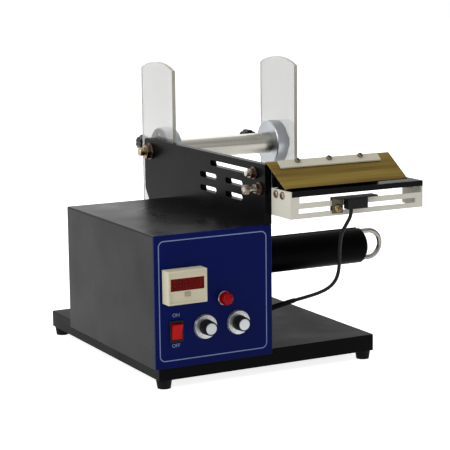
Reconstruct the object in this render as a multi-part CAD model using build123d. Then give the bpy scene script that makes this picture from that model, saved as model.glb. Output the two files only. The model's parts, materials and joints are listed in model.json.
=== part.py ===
from build123d import *
import math
import os

# A table-top label peeler: it unwinds a roll of labels, pulls the backing paper over
# a sloping peel sheet and winds the empty backing on a driven roller.
#
# Frame, in millimetres: the origin is the centre of the four feet on the table,
# +X to the operator's right, +Y to the back, +Z up. The control panel faces -Y.

# Fits and clearances
running_clearance = 0.05      # radial, shaft in bearing or bush
sliding_clearance = 0.10      # radial, collar on the supply tube
free_gap = 0.4                # between parts that move past each other
fit_gap = 0.1                 # around a part that is dropped into its pocket
screw_gap = 0.05              # radial, around a screw in its own thread or hole

# Base tray, folded from sheet, with a flange turned in under its rim
base_width = 270.0
base_depth = 303.0
base_height = 18.5
base_sheet = 2.0
base_flange = 26.0
flange_relief = 6.0           # slit between the folded-in flanges at each corner
base_corner = 2.2
base_edge = 0.8

# Rubber feet, pushed through the tray's flange
foot_height = 10.0
foot_top_diameter = 17.6
foot_bottom_diameter = 14.5
foot_inset = 9.2
foot_stem_diameter = 6.0
foot_barb_diameter = 8.0
foot_barb_height = 2.5

# Housing: folded cover on the left, top and back, panel in front
panel_width = 141.5
panel_thickness = 2.5
panel_edge = 0.8
box_depth = 235.5
box_height = 139.0
cover_sheet = 1.5
cover_overhang = 5.4
cover_bend = 1.8
cover_flange = 8.0
cover_foot = 16.0
skirt_drop = 5.0
hem_height = 11.0
panel_top_gap = 0.5

# Panel studs and cover screws
stud_diameter = 3.0
stud_nut_flats = 5.5
stud_nut_height = 2.4
stud_length = 6.0
cover_screw_diameter = 4.0
cover_screw_head = 7.5
cover_screw_head_height = 2.2
cover_screw_spread = 120.0

# Side plate that carries the rolls and the peel head
plate_thickness = 8.0
plate_height = 204.5
plate_reach = 303.0
plate_rear_drop = 62.0
plate_foot_past_cover = 8.0
plate_foot_height = 61.0
plate_nose_radius = 2.0
plate_tail_radius = 4.0
plate_bend_radius = 12.0
plate_screw_diameter = 5.0
plate_screw_head = 9.0
plate_screw_head_height = 3.0
plate_screw_depth = 16.0
plate_screw_inset = 30.5

# Slots in the side plate
long_slot_length = 110.0
long_slot_height = 6.4
long_slot_front = 17.0
long_slot_below_top = 11.5
short_slot_length = 40.0
short_slot_height = 6.5
short_slot_front = 51.0
short_slot_pitch = 62.0
short_slot_steps = 3.48        # rows share the height from the long slot down to the box

# Counter on the panel
counter_width = 46.5
counter_height = 36.5
counter_depth = 14.0
counter_from_left = 32.2
counter_above_base = 84.2
counter_lip = 2.5
counter_body_depth = 30.0
counter_rim = 2.6
counter_rim_depth = 0.8
counter_edge = 1.2
window_width = 39.2
window_height = 13.0
window_up = 3.2
window_thickness = 1.6
window_pocket_depth = 6.0
display_thickness = 2.0
display_margin = 1.0
key_width = 6.4
key_height = 4.4
key_down = 7.6
key_proud = 1.2
key_travel = 1.5
key_pocket_depth = 8.0
key_side_gap = 0.25

# Pilot lamp
lamp_from_left = 82.1
lamp_above_base = 64.6
lamp_bezel_diameter = 16.0
lamp_bezel_height = 2.5
lamp_stem_diameter = 11.6
lamp_stem_length = 11.0
lamp_lens_diameter = 14.0
lamp_lens_height = 13.0
lamp_lens_round = 5.5
lamp_socket_diameter = 9.2
lamp_socket_depth = 6.0

# Power rocker switch
rocker_from_left = 24.5
rocker_above_base = 34.9
rocker_bezel_width = 16.5
rocker_bezel_height = 23.5
rocker_bezel_thickness = 2.0
rocker_bezel_edge = 0.7
rocker_body_width = 13.8
rocker_body_height = 20.4
rocker_body_depth = 14.0
rocker_width = 11.6
rocker_height = 16.0
rocker_valley = 2.6
rocker_swing = 20.0
rocker_side_gap = 0.3
rocker_end_gap = 1.0
rocker_hub_drop = 4.5
rocker_cavity_depth = 7.5

# Speed and delay knobs with their potentiometers
left_knob_from_left = 58.8
right_knob_from_left = 98.8
knob_above_base = 36.0
skirt_diameter = 28.0
skirt_height = 2.6
skirt_lift = 0.8
skirt_taper = 1.2
grip_diameter = 16.8
grip_top_diameter = 15.2
grip_ribs = 20
grip_rib_depth = 0.55
knob_height = 15.5
cap_diameter = 12.5
cap_proud = 0.7
cap_round = 0.6
pot_diameter = 17.0
pot_depth = 11.0
pot_bush_diameter = 7.0
pot_bush_length = 2.4
pot_nut_flats = 10.0
pot_nut_height = 1.6
spindle_diameter = 6.0
spindle_depth = 5.0

# Gear motor and rewind roller
rewind_from_front = 85.0
rewind_above_base = 87.4
gearbox_diameter = 50.0
gearbox_length = 28.0
motor_diameter = 42.0
motor_length = 58.0
gearbox_screw_circle = 40.0
gearbox_screw_diameter = 3.0
gearbox_screw_head = 5.5
gearbox_screw_head_height = 1.8
gearbox_screw_depth = 8.0
rewind_shaft_diameter = 10.0
rewind_shaft_in_gearbox = 20.0
rewind_shaft_in_roller = 45.0
bearing_diameter = 26.0
roller_diameter = 42.0
roller_gap = 4.0
roller_length = 163.7
roller_chamfer = 3.5

# Wire clip that holds the backing paper on the roller
clip_wire = 6.0
clip_leg_offset = 16.0
clip_leg_length = 115.0
clip_stand_off = 11.5
clip_groove_gap = 0.4
clip_groove_end = 6.0

# Supply roll: axle, tube, collars and guide strips
supply_from_rear = 16.9
supply_below_top = 15.0
axle_diameter = 10.0
axle_shoulder_diameter = 20.0
axle_shoulder = 1.5
axle_stub = 8.0
axle_end_stub = 1.5
axle_nut_flats = 16.0
axle_nut_height = 6.0
end_nut_diameter = 26.0
end_nut_length = 6.0
axle_nut_flange = 20.0
axle_nut_flange_height = 2.0
supply_tube_diameter = 26.0
supply_tube_bore = 20.0
supply_tube_length = 176.5
supply_bush_length = 14.0
collar_diameter = 56.0
collar_thickness = 16.0
collar_chamfer = 1.0
strip_width = 86.5
strip_thickness = 4.5
strip_reach = 109.0
strip_drop = 80.0
strip_corner = 2.5
strip_plate_gap = 2.7
strip_offset = 2.0
strip_spread = 170.0
strip_bore_gap = 0.5
strip_screw_diameter = 4.0
strip_screw_head = 7.0
strip_screw_head_height = 1.8
strip_screw_depth = 8.0
strip_screw_offset = 19.5
thumb_diameter = 20.0
thumb_length = 14.0
thumb_flutes = 6
thumb_flute_diameter = 5.0
thumb_screw_diameter = 5.0
thumb_screw_length = 23.0
thumb_screw_out = 31.0
thumb_edge = 1.0
left_thumb_tilt = 2.0
right_thumb_tilt = 0.0

# Peel head: bracket, bar, sloping sheet and clamp strip
head_reach = 41.0
head_drop = 25.4
bracket_sheet = 1.5
bracket_width = 169.0
bracket_height = 29.5
bracket_strip_height = 16.6
bracket_slot_height = 5.1
bracket_slot_up = 5.6
bracket_slot_inset = 10.0
bracket_web_width = 11.0
ear_rear_reach = 36.0
ear_rear_start = 9.0
ear_step_back = 1.0
ear_rear_drop = 4.0
ear_tail_height = 33.0
right_ear_depth = 38.0
ear_lip_width = 10.0
bar_thickness = 6.0
bar_depth = 38.0
bar_block_length = 12.0
bar_block_drop = 8.0
bar_block_front = 10.0
bar_block_depth = 24.0
bar_upright = 2.5
bar_upright_from_back = 5.0
bar_flange = 2.5
bar_flange_length = 14.0
sheet_thickness = 1.5
sheet_rise = 25.1
sheet_run = 30.0
sheet_back_gap = 6.5
sheet_above_plate = 3.1
sheet_past_plate = 9.0
sheet_width = 156.0
sheet_flare = 4.5
sheet_taper = 5.0
sheet_curl = 3.0
clamp_width = 10.4
clamp_thickness = 1.8
clamp_from_plate = 3.5
clamp_length = 127.0
clamp_screw_diameter = 3.0
clamp_screw_head = 6.5
clamp_screw_head_height = 2.8
clamp_screw_from_back = 2.3
clamp_screw_pitch = 40.0
clamp_screw_first = 23.3
ear_screw_diameter = 4.0
ear_screw_head = 8.4
ear_screw_head_height = 2.4
ear_screw_depth = 9.0
ear_screw_drop = 5.6
ear_screw_pitch = 13.7
ear_screw_front = 16.8
lip_screw_depth = 4.5

# Bolts that hold the peel head on the side plate
head_bolt_diameter = 6.0
head_bolt_flats = 10.0
head_bolt_head_height = 4.0
head_nut_height = 5.0
head_washer_diameter = 14.0
head_washer_thickness = 1.5
upper_bolt_from_front = 24.0
lower_bolt_from_front = 12.0
upper_bolt_tail = 4.0
lower_bolt_tail = 13.0

# Label sensor on the bracket
sensor_from_plate = 78.6
sensor_width = 25.6
sensor_height = 12.0
sensor_depth = 9.0
sensor_edge = 1.0
sensor_gap = 0.6
holder_sheet = 1.5
holder_left = 14.8
holder_right = 12.5
holder_tab_width = 13.0
holder_tab_drop = 16.0
holder_lift = 2.0
sensor_screw_diameter = 4.0
sensor_screw_head = 9.0
sensor_screw_head_height = 2.6

# Sensor cable with its moulded strain relief
cable_diameter = 4.0
cable_bend_share = 0.45
relief_diameter = 5.6
relief_flange_diameter = 11.0
relief_flange_thickness = 2.0
relief_runs = 3
relief_from_front = 30.0
relief_above_base = 38.1
cable_from_sensor_left = 5.0
cable_end_run = 7.0

# Power supply, control board and mains inlet inside the housing
supply_case_width = 60.0
supply_case_depth = 90.0
supply_case_height = 40.0
supply_case_edge = 1.5
supply_case_margin = 12.0
board_width = 74.0
board_height = 46.0
board_thickness = 1.6
board_parts_height = 12.0
inlet_width = 28.0
inlet_height = 20.0
inlet_flange_margin = 3.0
inlet_flange_thickness = 2.5
inlet_depth = 22.0
inlet_pocket_wall = 3.0
inlet_pocket_depth = 16.0
inlet_pin_width = 2.0
inlet_pin_height = 4.0
inlet_pin_recess = 6.0
inlet_pin_pitch = 7.0
inlet_above_base = 40.0
inlet_from_left = 45.0

# Levels and faces that follow from the sizes above
base_bottom = foot_height
base_top = base_bottom + base_height
base_left = -base_width / 2
base_front = -base_depth / 2
cover_left = base_left - cover_overhang
panel_back = base_front
panel_front = panel_back - panel_thickness
cover_rear = panel_front + box_depth
box_top = base_top + box_height
skirt_bottom = base_top - skirt_drop
plate_right = cover_left + panel_width
plate_left = plate_right - plate_thickness
plate_top = base_top + plate_height
plate_rear = panel_front + plate_reach
plate_foot_rear = cover_rear + plate_foot_past_cover

# Rolls
rewind_y = panel_front + rewind_from_front
rewind_z = base_top + rewind_above_base
roller_left = plate_right + roller_gap
roller_right = roller_left + roller_length
supply_y = plate_rear - supply_from_rear
supply_z = plate_top - supply_below_top
tube_left = plate_right + axle_shoulder + free_gap
tube_right = tube_left + supply_tube_length
strip_y = supply_y + strip_offset
left_strip_left = plate_right + strip_plate_gap
right_strip_left = left_strip_left + strip_spread

# Peel head
head_front = panel_front - head_reach
bracket_left = plate_right
bracket_right = bracket_left + bracket_width
bracket_top = plate_top - head_drop
bracket_bottom = bracket_top - bracket_height
bar_top = bracket_top
bar_bottom = bar_top - bar_thickness
bar_left = bracket_left + bracket_sheet
bar_back = head_front + bar_depth
strip_top = bracket_bottom + bracket_strip_height
slot_bottom = bracket_bottom + bracket_slot_up
slot_middle = slot_bottom + bracket_slot_height / 2
slot_left = bracket_left + bracket_slot_inset
slot_right = bracket_right - bracket_slot_inset
long_slot_z = plate_top - long_slot_below_top
short_slot_row_pitch = (long_slot_z - box_top) / short_slot_steps
short_slot_z = long_slot_z - short_slot_row_pitch
upper_bolt_y = panel_front + upper_bolt_from_front
lower_bolt_y = panel_front + lower_bolt_from_front
sheet_back_y = panel_front - sheet_back_gap
sheet_back_z = plate_top + sheet_above_plate
sheet_length = math.hypot(sheet_run, sheet_rise)
clamp_left = plate_right + clamp_from_plate
sensor_left = plate_right + sensor_from_plate - sensor_width / 2
sensor_right = sensor_left + sensor_width

# The sensor cable's route, from the side plate to the underside of the sensor; its bends are
# offsets from the plate's right face, the panel's face and the tray's top
relief_y = panel_front + relief_from_front
relief_z = base_top + relief_above_base
cable_top_x = sensor_left + cable_from_sensor_left
cable_top_y = head_front - sensor_gap - sensor_depth * 0.76
cable_top_z = strip_top + holder_lift - sensor_height
cable_bends = [
    (11.4, 30.0, 38.1),
    (22.4, 21.0, 43.4),
    (32.4, 8.0, 49.8),
    (41.9, -2.5, 54.5),
    (52.9, -11.0, 59.3),
    (62.3, -17.8, 65.5),
    (66.9, -24.5, 75.0),
    (66.3, -31.0, 87.0),
    (63.8, -36.0, 100.0),
    (61.3, -40.0, 115.0),
    (60.5, -45.0, 130.0),
    (65.9, -47.3, 141.0),
]
cable_route = [(plate_right + relief_flange_thickness, relief_y, relief_z)]
cable_route += [(plate_right + x, panel_front + y, base_top + z) for x, y, z in cable_bends]
cable_route += [
    (cable_top_x, cable_top_y, cable_top_z - cable_end_run),
    (cable_top_x, cable_top_y, cable_top_z),
]


def block(x0, x1, y0, y1, z0, z1):
    """Box between two opposite corners."""
    return Pos((x0 + x1) / 2, (y0 + y1) / 2, (z0 + z1) / 2) * Box(x1 - x0, y1 - y0, z1 - z0)


def rod_x(x0, x1, y, z, diameter):
    """Round bar along X."""
    bar = Cylinder(diameter / 2, x1 - x0, align=(Align.CENTER, Align.CENTER, Align.MIN))
    return Pos(x0, y, z) * Rot(0, 90, 0) * bar


def rod_y(x, y0, y1, z, diameter):
    """Round bar along Y."""
    bar = Cylinder(diameter / 2, y1 - y0, align=(Align.CENTER, Align.CENTER, Align.MIN))
    return Pos(x, y0, z) * Rot(-90, 0, 0) * bar


def rod_z(x, y, z0, z1, diameter):
    """Round bar along Z."""
    bar = Cylinder(diameter / 2, z1 - z0, align=(Align.CENTER, Align.CENTER, Align.MIN))
    return Pos(x, y, z0) * bar


def hex_x(x0, x1, y, z, flats):
    """Hexagon bar along X, given its width across flats."""
    outline = RegularPolygon(flats / math.sqrt(3), 6)
    return extrude(Plane.YZ.offset(x0) * Pos(y, z) * outline, amount=x1 - x0)


def slot_x(x0, x1, y0, y1, z, height):
    """Round-ended slot cutter along Y that goes through X."""
    radius = height / 2
    middle = block(x0, x1, y0 + radius, y1 - radius, z - radius, z + radius)
    return middle + rod_x(x0, x1, y0 + radius, z, height) + rod_x(x0, x1, y1 - radius, z, height)


def profile_yz(points, x0, x1):
    """Outline of (y, z) points made into a solid between two X faces."""
    return extrude(Plane.YZ.offset(x0) * Polygon(*points, align=None), amount=x1 - x0)


def on_panel(from_left, above_base):
    """Frame on the panel's face: X right, Y up, Z out towards the operator."""
    return Pos(cover_left + from_left, panel_front, base_top + above_base) * Rot(90, 0, 0)


def slope_points(s0, s1, h0, h1):
    """Corners of a strip on the peel slope: s runs down it from the back edge, h stands off it."""
    along = (-sheet_run / sheet_length, -sheet_rise / sheet_length)
    normal = (along[1], -along[0])
    corners = []
    for s, h in ((s0, h0), (s0, h1), (s1, h1), (s1, h0)):
        y = sheet_back_y + along[0] * s + normal[0] * h
        z = sheet_back_z + along[1] * s + normal[1] * h
        corners.append((y, z))
    return corners


def slope_rod(x, s, h0, h1, diameter):
    """Round bar that stands square on the peel slope."""
    tilt = math.degrees(math.atan2(sheet_rise, sheet_run))
    foot_y, foot_z = slope_points(s, s, h0, h0)[0]
    bar = Cylinder(diameter / 2, h1 - h0, align=(Align.CENTER, Align.CENTER, Align.MIN))
    return Pos(x, foot_y, foot_z) * Rot(tilt, 0, 0) * bar


def foot_places():
    """Centres of the four feet."""
    x = base_width / 2 - foot_inset
    y = base_depth / 2 - foot_inset
    return [(-x, -y), (x, -y), (-x, y), (x, y)]


def plate_screw_places():
    """Y places of the screws that hold the side plate's foot."""
    first = panel_back + plate_screw_inset
    last = plate_foot_rear - plate_screw_inset
    return [first, (first + last) / 2, last]


def cover_screw_places():
    """Y places of the screws through the side plate, and X places of those in the cover's foot."""
    middle_y = (panel_back + cover_rear) / 2
    middle_x = (base_left + plate_left) / 2
    along_plate = [middle_y - cover_screw_spread / 2, middle_y + cover_screw_spread / 2]
    along_foot = [middle_x - cover_screw_spread / 3, middle_x + cover_screw_spread / 3]
    return along_plate, along_foot


def stud_places():
    """X and Z places of the panel's four studs, behind the cover's front flanges."""
    side_x = cover_left + cover_sheet + cover_flange / 2
    top_z = box_top - cover_sheet - cover_flange / 2
    return [
        (side_x, base_top + box_height / 5),
        (side_x, base_top + box_height * 3 / 5),
        (cover_left + panel_width / 3, top_z),
        (cover_left + panel_width * 3 / 4, top_z),
    ]


def gearbox_screw_places():
    """Y and Z places of the four gearbox screws."""
    radius = gearbox_screw_circle / 2
    places = []
    for angle in (45, 135, 225, 315):
        y = rewind_y + radius * math.cos(math.radians(angle))
        z = rewind_z + radius * math.sin(math.radians(angle))
        places.append((y, z))
    return places


def make_base():
    """Folded tray and its four push-in feet."""
    rim = block(base_left, -base_left, base_front, -base_front, base_bottom, base_top)
    rim = fillet(rim.edges().filter_by(Axis.Z), base_corner)
    rim = fillet(rim.edges().group_by(Axis.Z)[-1], base_edge)
    inner_x = base_width / 2 - base_sheet
    inner_y = base_depth / 2 - base_sheet
    inside = block(-inner_x, inner_x, -inner_y, inner_y, base_bottom + base_sheet, base_top - base_sheet)
    hole_x = base_width / 2 - base_flange
    hole_y = base_depth / 2 - base_flange
    hatch = block(-hole_x, hole_x, -hole_y, hole_y, base_bottom - base_sheet, base_bottom + 2 * base_sheet)
    tray = rim - inside - hatch
    for x in (-1, 1):
        for y in (-1, 1):
            side_slit = sorted((x * hole_x, x * inner_x))
            end_slit = sorted((y * hole_y, y * (hole_y - flange_relief)))
            tray -= block(*side_slit, *end_slit, base_bottom - 1, base_bottom + base_sheet)
    feet = []
    for x, y in foot_places():
        tray -= rod_z(x, y, base_bottom - 1, base_bottom + base_sheet + 1, foot_stem_diameter + 2 * fit_gap)
        cone = Pos(x, y, foot_height / 2) * Cone(foot_bottom_diameter / 2, foot_top_diameter / 2, foot_height)
        stem = rod_z(x, y, foot_height - 1, base_bottom + base_sheet + foot_barb_height, foot_stem_diameter)
        barb_bottom = base_bottom + base_sheet + fit_gap
        barb = rod_z(x, y, barb_bottom, barb_bottom + foot_barb_height, foot_barb_diameter)
        feet.append(cone + stem + barb)
    plate_x = (plate_left + plate_right) / 2
    screws = []
    for y in plate_screw_places():
        shank_bottom = base_top - base_sheet
        tray -= rod_z(plate_x, y, shank_bottom - 1, base_top + 1, plate_screw_diameter + 2 * screw_gap)
        shank = rod_z(plate_x, y, shank_bottom, base_top + plate_screw_depth, plate_screw_diameter)
        head = rod_z(plate_x, y, shank_bottom - plate_screw_head_height, shank_bottom, plate_screw_head)
        screws.append(shank + head)
    foot_y = cover_rear + cover_foot / 2
    for x in cover_screw_places()[1]:
        tray -= rod_z(x, foot_y, base_top - base_sheet - 1, base_top + 1, cover_screw_diameter + 2 * screw_gap)
    return {
        "base_tray": tray,
        "rubber_feet": Compound(children=feet),
        "plate_screws": Compound(children=screws),
    }


def make_cover():
    """Folded cover: left wall, top and back, with turned-in flanges and a hem over the tray's edge."""
    inner_left = cover_left + cover_sheet
    inner_top = box_top - cover_sheet
    shell = block(cover_left, plate_left, panel_back, cover_rear, base_top, box_top)
    shell = fillet(
        shell.edges().filter_by(Axis.Y).group_by(Axis.Z)[-1].group_by(Axis.X)[0]
        + shell.edges().filter_by(Axis.Z).group_by(Axis.Y)[-1].group_by(Axis.X)[0]
        + shell.edges().filter_by(Axis.X).group_by(Axis.Z)[-1].group_by(Axis.Y)[-1],
        cover_bend,
    )
    inside = block(inner_left, plate_left + 1, panel_back - 1, cover_rear - cover_sheet, base_top - 1, inner_top)
    cover = shell - inside
    cover += block(cover_left, inner_left, panel_back, cover_rear - cover_bend, skirt_bottom, base_top + 1)
    cover += block(inner_left, base_left, panel_back, cover_rear - cover_sheet,
                   skirt_bottom, skirt_bottom + hem_height)
    flange_back = panel_back + cover_sheet
    cover += block(inner_left, inner_left + cover_flange, panel_back, flange_back,
                   base_top + free_gap, inner_top)
    cover += block(inner_left, plate_left, panel_back, flange_back, inner_top - cover_flange, inner_top)
    cover += block(plate_left - cover_sheet, plate_left, flange_back, cover_rear - cover_sheet,
                   inner_top - cover_flange, inner_top)
    foot_left = base_left + base_corner
    cover += block(foot_left, plate_left, cover_rear - cover_sheet, cover_rear + cover_foot,
                   base_top, base_top + cover_sheet)
    for x, z in stud_places():
        cover -= rod_y(x, panel_back - 1, flange_back + 1, z, stud_diameter + 2 * fit_gap)
    inlet_x = cover_left + inlet_from_left
    inlet_z = base_top + inlet_above_base
    half_width = inlet_width / 2 + fit_gap
    half_height = inlet_height / 2 + fit_gap
    cover -= block(inlet_x - half_width, inlet_x + half_width, cover_rear - cover_sheet - 1, cover_rear + 1,
                   inlet_z - half_height, inlet_z + half_height)
    along_plate, along_foot = cover_screw_places()
    screw_z = inner_top - cover_flange / 2
    foot_y = cover_rear + cover_foot / 2
    hole = cover_screw_diameter + 2 * screw_gap
    screws = []
    for y in along_plate:
        cover -= rod_x(plate_left - cover_sheet - 1, plate_left + 1, y, screw_z, hole)
        shank = rod_x(plate_left - 2 * cover_sheet, plate_right, y, screw_z, cover_screw_diameter)
        head = rod_x(plate_right, plate_right + cover_screw_head_height, y, screw_z, cover_screw_head)
        screws.append(shank + head)
    head_bottom = base_top + cover_sheet
    for x in along_foot:
        cover -= rod_z(x, foot_y, base_top - 1, head_bottom + 1, hole)
        shank = rod_z(x, foot_y, base_top - 2 * base_sheet, head_bottom, cover_screw_diameter)
        head = rod_z(x, foot_y, head_bottom, head_bottom + cover_screw_head_height, cover_screw_head)
        screws.append(shank + head)
    return {"housing_cover": cover, "cover_screws": Compound(children=screws)}


def make_panel():
    """Front panel with its cut-outs, weld studs and the nuts on them."""
    panel = block(cover_left, plate_right, panel_front, panel_back, skirt_bottom, box_top)
    front_rim = panel.faces().sort_by(Axis.Y)[0].edges()
    panel = fillet(front_rim, panel_edge)
    depth = panel_thickness + 2
    cut_x = counter_width / 2 - counter_lip + fit_gap
    cut_y = counter_height / 2 - counter_lip + fit_gap
    panel -= on_panel(counter_from_left, counter_above_base) * block(-cut_x, cut_x, -cut_y, cut_y, -depth, 1)
    cut_x = rocker_body_width / 2 + fit_gap
    cut_y = rocker_body_height / 2 + fit_gap
    panel -= on_panel(rocker_from_left, rocker_above_base) * block(-cut_x, cut_x, -cut_y, cut_y, -depth, 1)
    panel -= on_panel(lamp_from_left, lamp_above_base) * rod_z(0, 0, -depth, 1, lamp_stem_diameter + 2 * fit_gap)
    for from_left in (left_knob_from_left, right_knob_from_left):
        panel -= on_panel(from_left, knob_above_base) * rod_z(0, 0, -depth, 1, pot_bush_diameter + 2 * fit_gap)
    nuts = []
    nut_front = panel_back + cover_sheet
    for x, z in stud_places():
        panel += rod_y(x, panel_back - panel_thickness / 2, panel_back + stud_length, z, stud_diameter)
        outline = RegularPolygon(stud_nut_flats / math.sqrt(3), 6)
        nut = extrude(Pos(x, nut_front, z) * Rot(-90, 0, 0) * outline, amount=stud_nut_height)
        nuts.append(nut - rod_y(x, nut_front - 1, nut_front + stud_nut_height + 1, z,
                                stud_diameter + 2 * screw_gap))
    return {"front_panel": panel, "panel_nuts": Compound(children=nuts)}


def make_side_plate():
    """Thick side plate: the right wall of the housing and the carrier of both rolls."""
    nose_bottom = box_top + panel_top_gap
    outline = Polygon(
        (panel_back, base_top),
        (plate_foot_rear, base_top),
        (plate_foot_rear, base_top + plate_foot_height),
        (plate_rear, plate_top - plate_rear_drop),
        (plate_rear, plate_top),
        (panel_front, plate_top),
        (panel_front, nose_bottom),
        (panel_back, nose_bottom),
        align=None,
    )
    by_height = outline.vertices().group_by(Axis.Y)
    top_front, top_rear = by_height[-1].sort_by(Axis.X)
    outline = fillet([top_front], plate_nose_radius)
    outline = fillet(outline.vertices().sort_by_distance((plate_rear, plate_top))[:1], plate_tail_radius)
    for corner in ((plate_rear, plate_top - plate_rear_drop), (plate_foot_rear, base_top + plate_foot_height)):
        outline = fillet(outline.vertices().sort_by_distance(corner)[:1], plate_bend_radius)
    plate = extrude(Plane.YZ.offset(plate_left) * outline, amount=plate_thickness)
    past_left = plate_left - 1
    past_right = plate_right + 1
    plate -= slot_x(past_left, past_right, panel_front + long_slot_front,
                    panel_front + long_slot_front + long_slot_length, long_slot_z, long_slot_height)
    for column in range(2):
        front = panel_front + short_slot_front + column * short_slot_pitch
        for row in range(2):
            z = short_slot_z - row * short_slot_row_pitch
            plate -= slot_x(past_left, past_right, front, front + short_slot_length, z, short_slot_height)
    plate -= rod_x(past_left, past_right, lower_bolt_y, short_slot_z, head_bolt_diameter + 2 * fit_gap)
    plate -= rod_x(past_left, past_right, supply_y, supply_z, axle_diameter + 2 * screw_gap)
    plate -= rod_x(past_left, past_right, rewind_y, rewind_z, bearing_diameter)
    for y, z in gearbox_screw_places():
        plate -= rod_x(past_left, past_right, y, z, gearbox_screw_diameter + 2 * screw_gap)
    screw_z = box_top - cover_sheet - cover_flange / 2
    for y in cover_screw_places()[0]:
        plate -= rod_x(past_left, past_right, y, screw_z, cover_screw_diameter + 2 * screw_gap)
    plate_x = (plate_left + plate_right) / 2
    for y in plate_screw_places():
        plate -= rod_z(plate_x, y, base_top - 1, base_top + plate_screw_depth + 1,
                       plate_screw_diameter + 2 * screw_gap)
    plate -= rod_x(past_left, past_right, relief_y, relief_z, relief_diameter + 2 * fit_gap)
    return {"side_plate": plate}


def make_counter():
    """Counter with its red window, display board and reset key."""
    half_width = counter_width / 2
    half_height = counter_height / 2
    face = counter_depth - counter_rim_depth
    case = block(-half_width, half_width, -half_height, half_height, 0, counter_depth)
    case = fillet(case.edges().filter_by(Axis.Z) + case.edges().group_by(Axis.Z)[-1], counter_edge)
    case += block(-half_width + counter_lip, half_width - counter_lip,
                  -half_height + counter_lip, half_height - counter_lip, -counter_body_depth, 0)
    case -= block(-half_width + counter_rim, half_width - counter_rim,
                  -half_height + counter_rim, half_height - counter_rim, face, counter_depth + 1)
    pocket_x = window_width / 2 + fit_gap
    pocket_y = window_height / 2 + fit_gap
    pocket_floor = face - window_pocket_depth
    case -= block(-pocket_x, pocket_x, window_up - pocket_y, window_up + pocket_y, pocket_floor, counter_depth)
    key_x = key_width / 2 + key_side_gap
    key_y = key_height / 2 + key_side_gap
    key_floor = face - key_pocket_depth
    case -= block(-key_x, key_x, -key_down - key_y, -key_down + key_y, key_floor, counter_depth)
    window = block(-window_width / 2, window_width / 2, window_up - window_height / 2,
                   window_up + window_height / 2, face - window_thickness, face)
    display_x = window_width / 2 - display_margin
    display_y = window_height / 2 - display_margin
    display = block(-display_x, display_x, window_up - display_y, window_up + display_y,
                    pocket_floor, pocket_floor + display_thickness)
    key_back = key_floor + key_travel + free_gap
    key = block(-key_width / 2, key_width / 2, -key_down - key_height / 2, -key_down + key_height / 2,
                key_back, face + key_proud)
    key = fillet(key.edges().group_by(Axis.Z)[-1], key_side_gap)
    place = on_panel(counter_from_left, counter_above_base)
    return {
        "counter_case": place * case,
        "counter_window": place * window,
        "counter_display": place * display,
        "counter_key": place * key,
    }


def make_lamp():
    """Snap-in pilot lamp: bezel and domed lens."""
    bezel = rod_z(0, 0, 0, lamp_bezel_height, lamp_bezel_diameter)
    bezel = chamfer(bezel.edges().group_by(Axis.Z)[-1], lamp_bezel_height / 3)
    bezel += rod_z(0, 0, -lamp_stem_length, 0, lamp_stem_diameter)
    bezel -= rod_z(0, 0, -lamp_socket_depth, lamp_bezel_height + 1, lamp_socket_diameter)
    lens = rod_z(0, 0, lamp_bezel_height, lamp_lens_height, lamp_lens_diameter)
    lens = fillet(lens.edges().group_by(Axis.Z)[-1], lamp_lens_round)
    lens += rod_z(0, 0, -lamp_socket_depth, lamp_bezel_height, lamp_socket_diameter - 2 * fit_gap)
    place = on_panel(lamp_from_left, lamp_above_base)
    return {"lamp_bezel": place * bezel, "lamp_lens": place * lens}


def make_rocker():
    """Power switch: frame with its cavity, and the rocking button at rest in the off position."""
    half_width = rocker_bezel_width / 2
    half_height = rocker_bezel_height / 2
    frame = block(-half_width, half_width, -half_height, half_height, 0, rocker_bezel_thickness)
    frame = fillet(frame.edges().group_by(Axis.Z)[-1], rocker_bezel_edge)
    frame += block(-rocker_body_width / 2, rocker_body_width / 2, -rocker_body_height / 2,
                   rocker_body_height / 2, -rocker_body_depth, 0)
    cavity_x = rocker_width / 2 + rocker_side_gap
    cavity_y = rocker_height / 2 + rocker_end_gap
    frame -= block(-cavity_x, cavity_x, -cavity_y, cavity_y, -rocker_cavity_depth, rocker_bezel_thickness + 1)
    end = rocker_height / 2
    tip = rocker_valley + end * math.tan(math.radians(rocker_swing / 2))
    outline = Polygon(
        (end, tip),
        (0, rocker_valley),
        (-end, tip),
        (-end, 0),
        (-end / 2, -rocker_hub_drop),
        (end / 2, -rocker_hub_drop),
        (end, 0),
        align=None,
    )
    button = extrude(Plane.YZ.offset(-rocker_width / 2) * outline, amount=rocker_width)
    button = Rot(rocker_swing / 2, 0, 0) * button
    place = on_panel(rocker_from_left, rocker_above_base)
    return {"rocker_frame": place * frame, "rocker_button": place * button}


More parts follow.
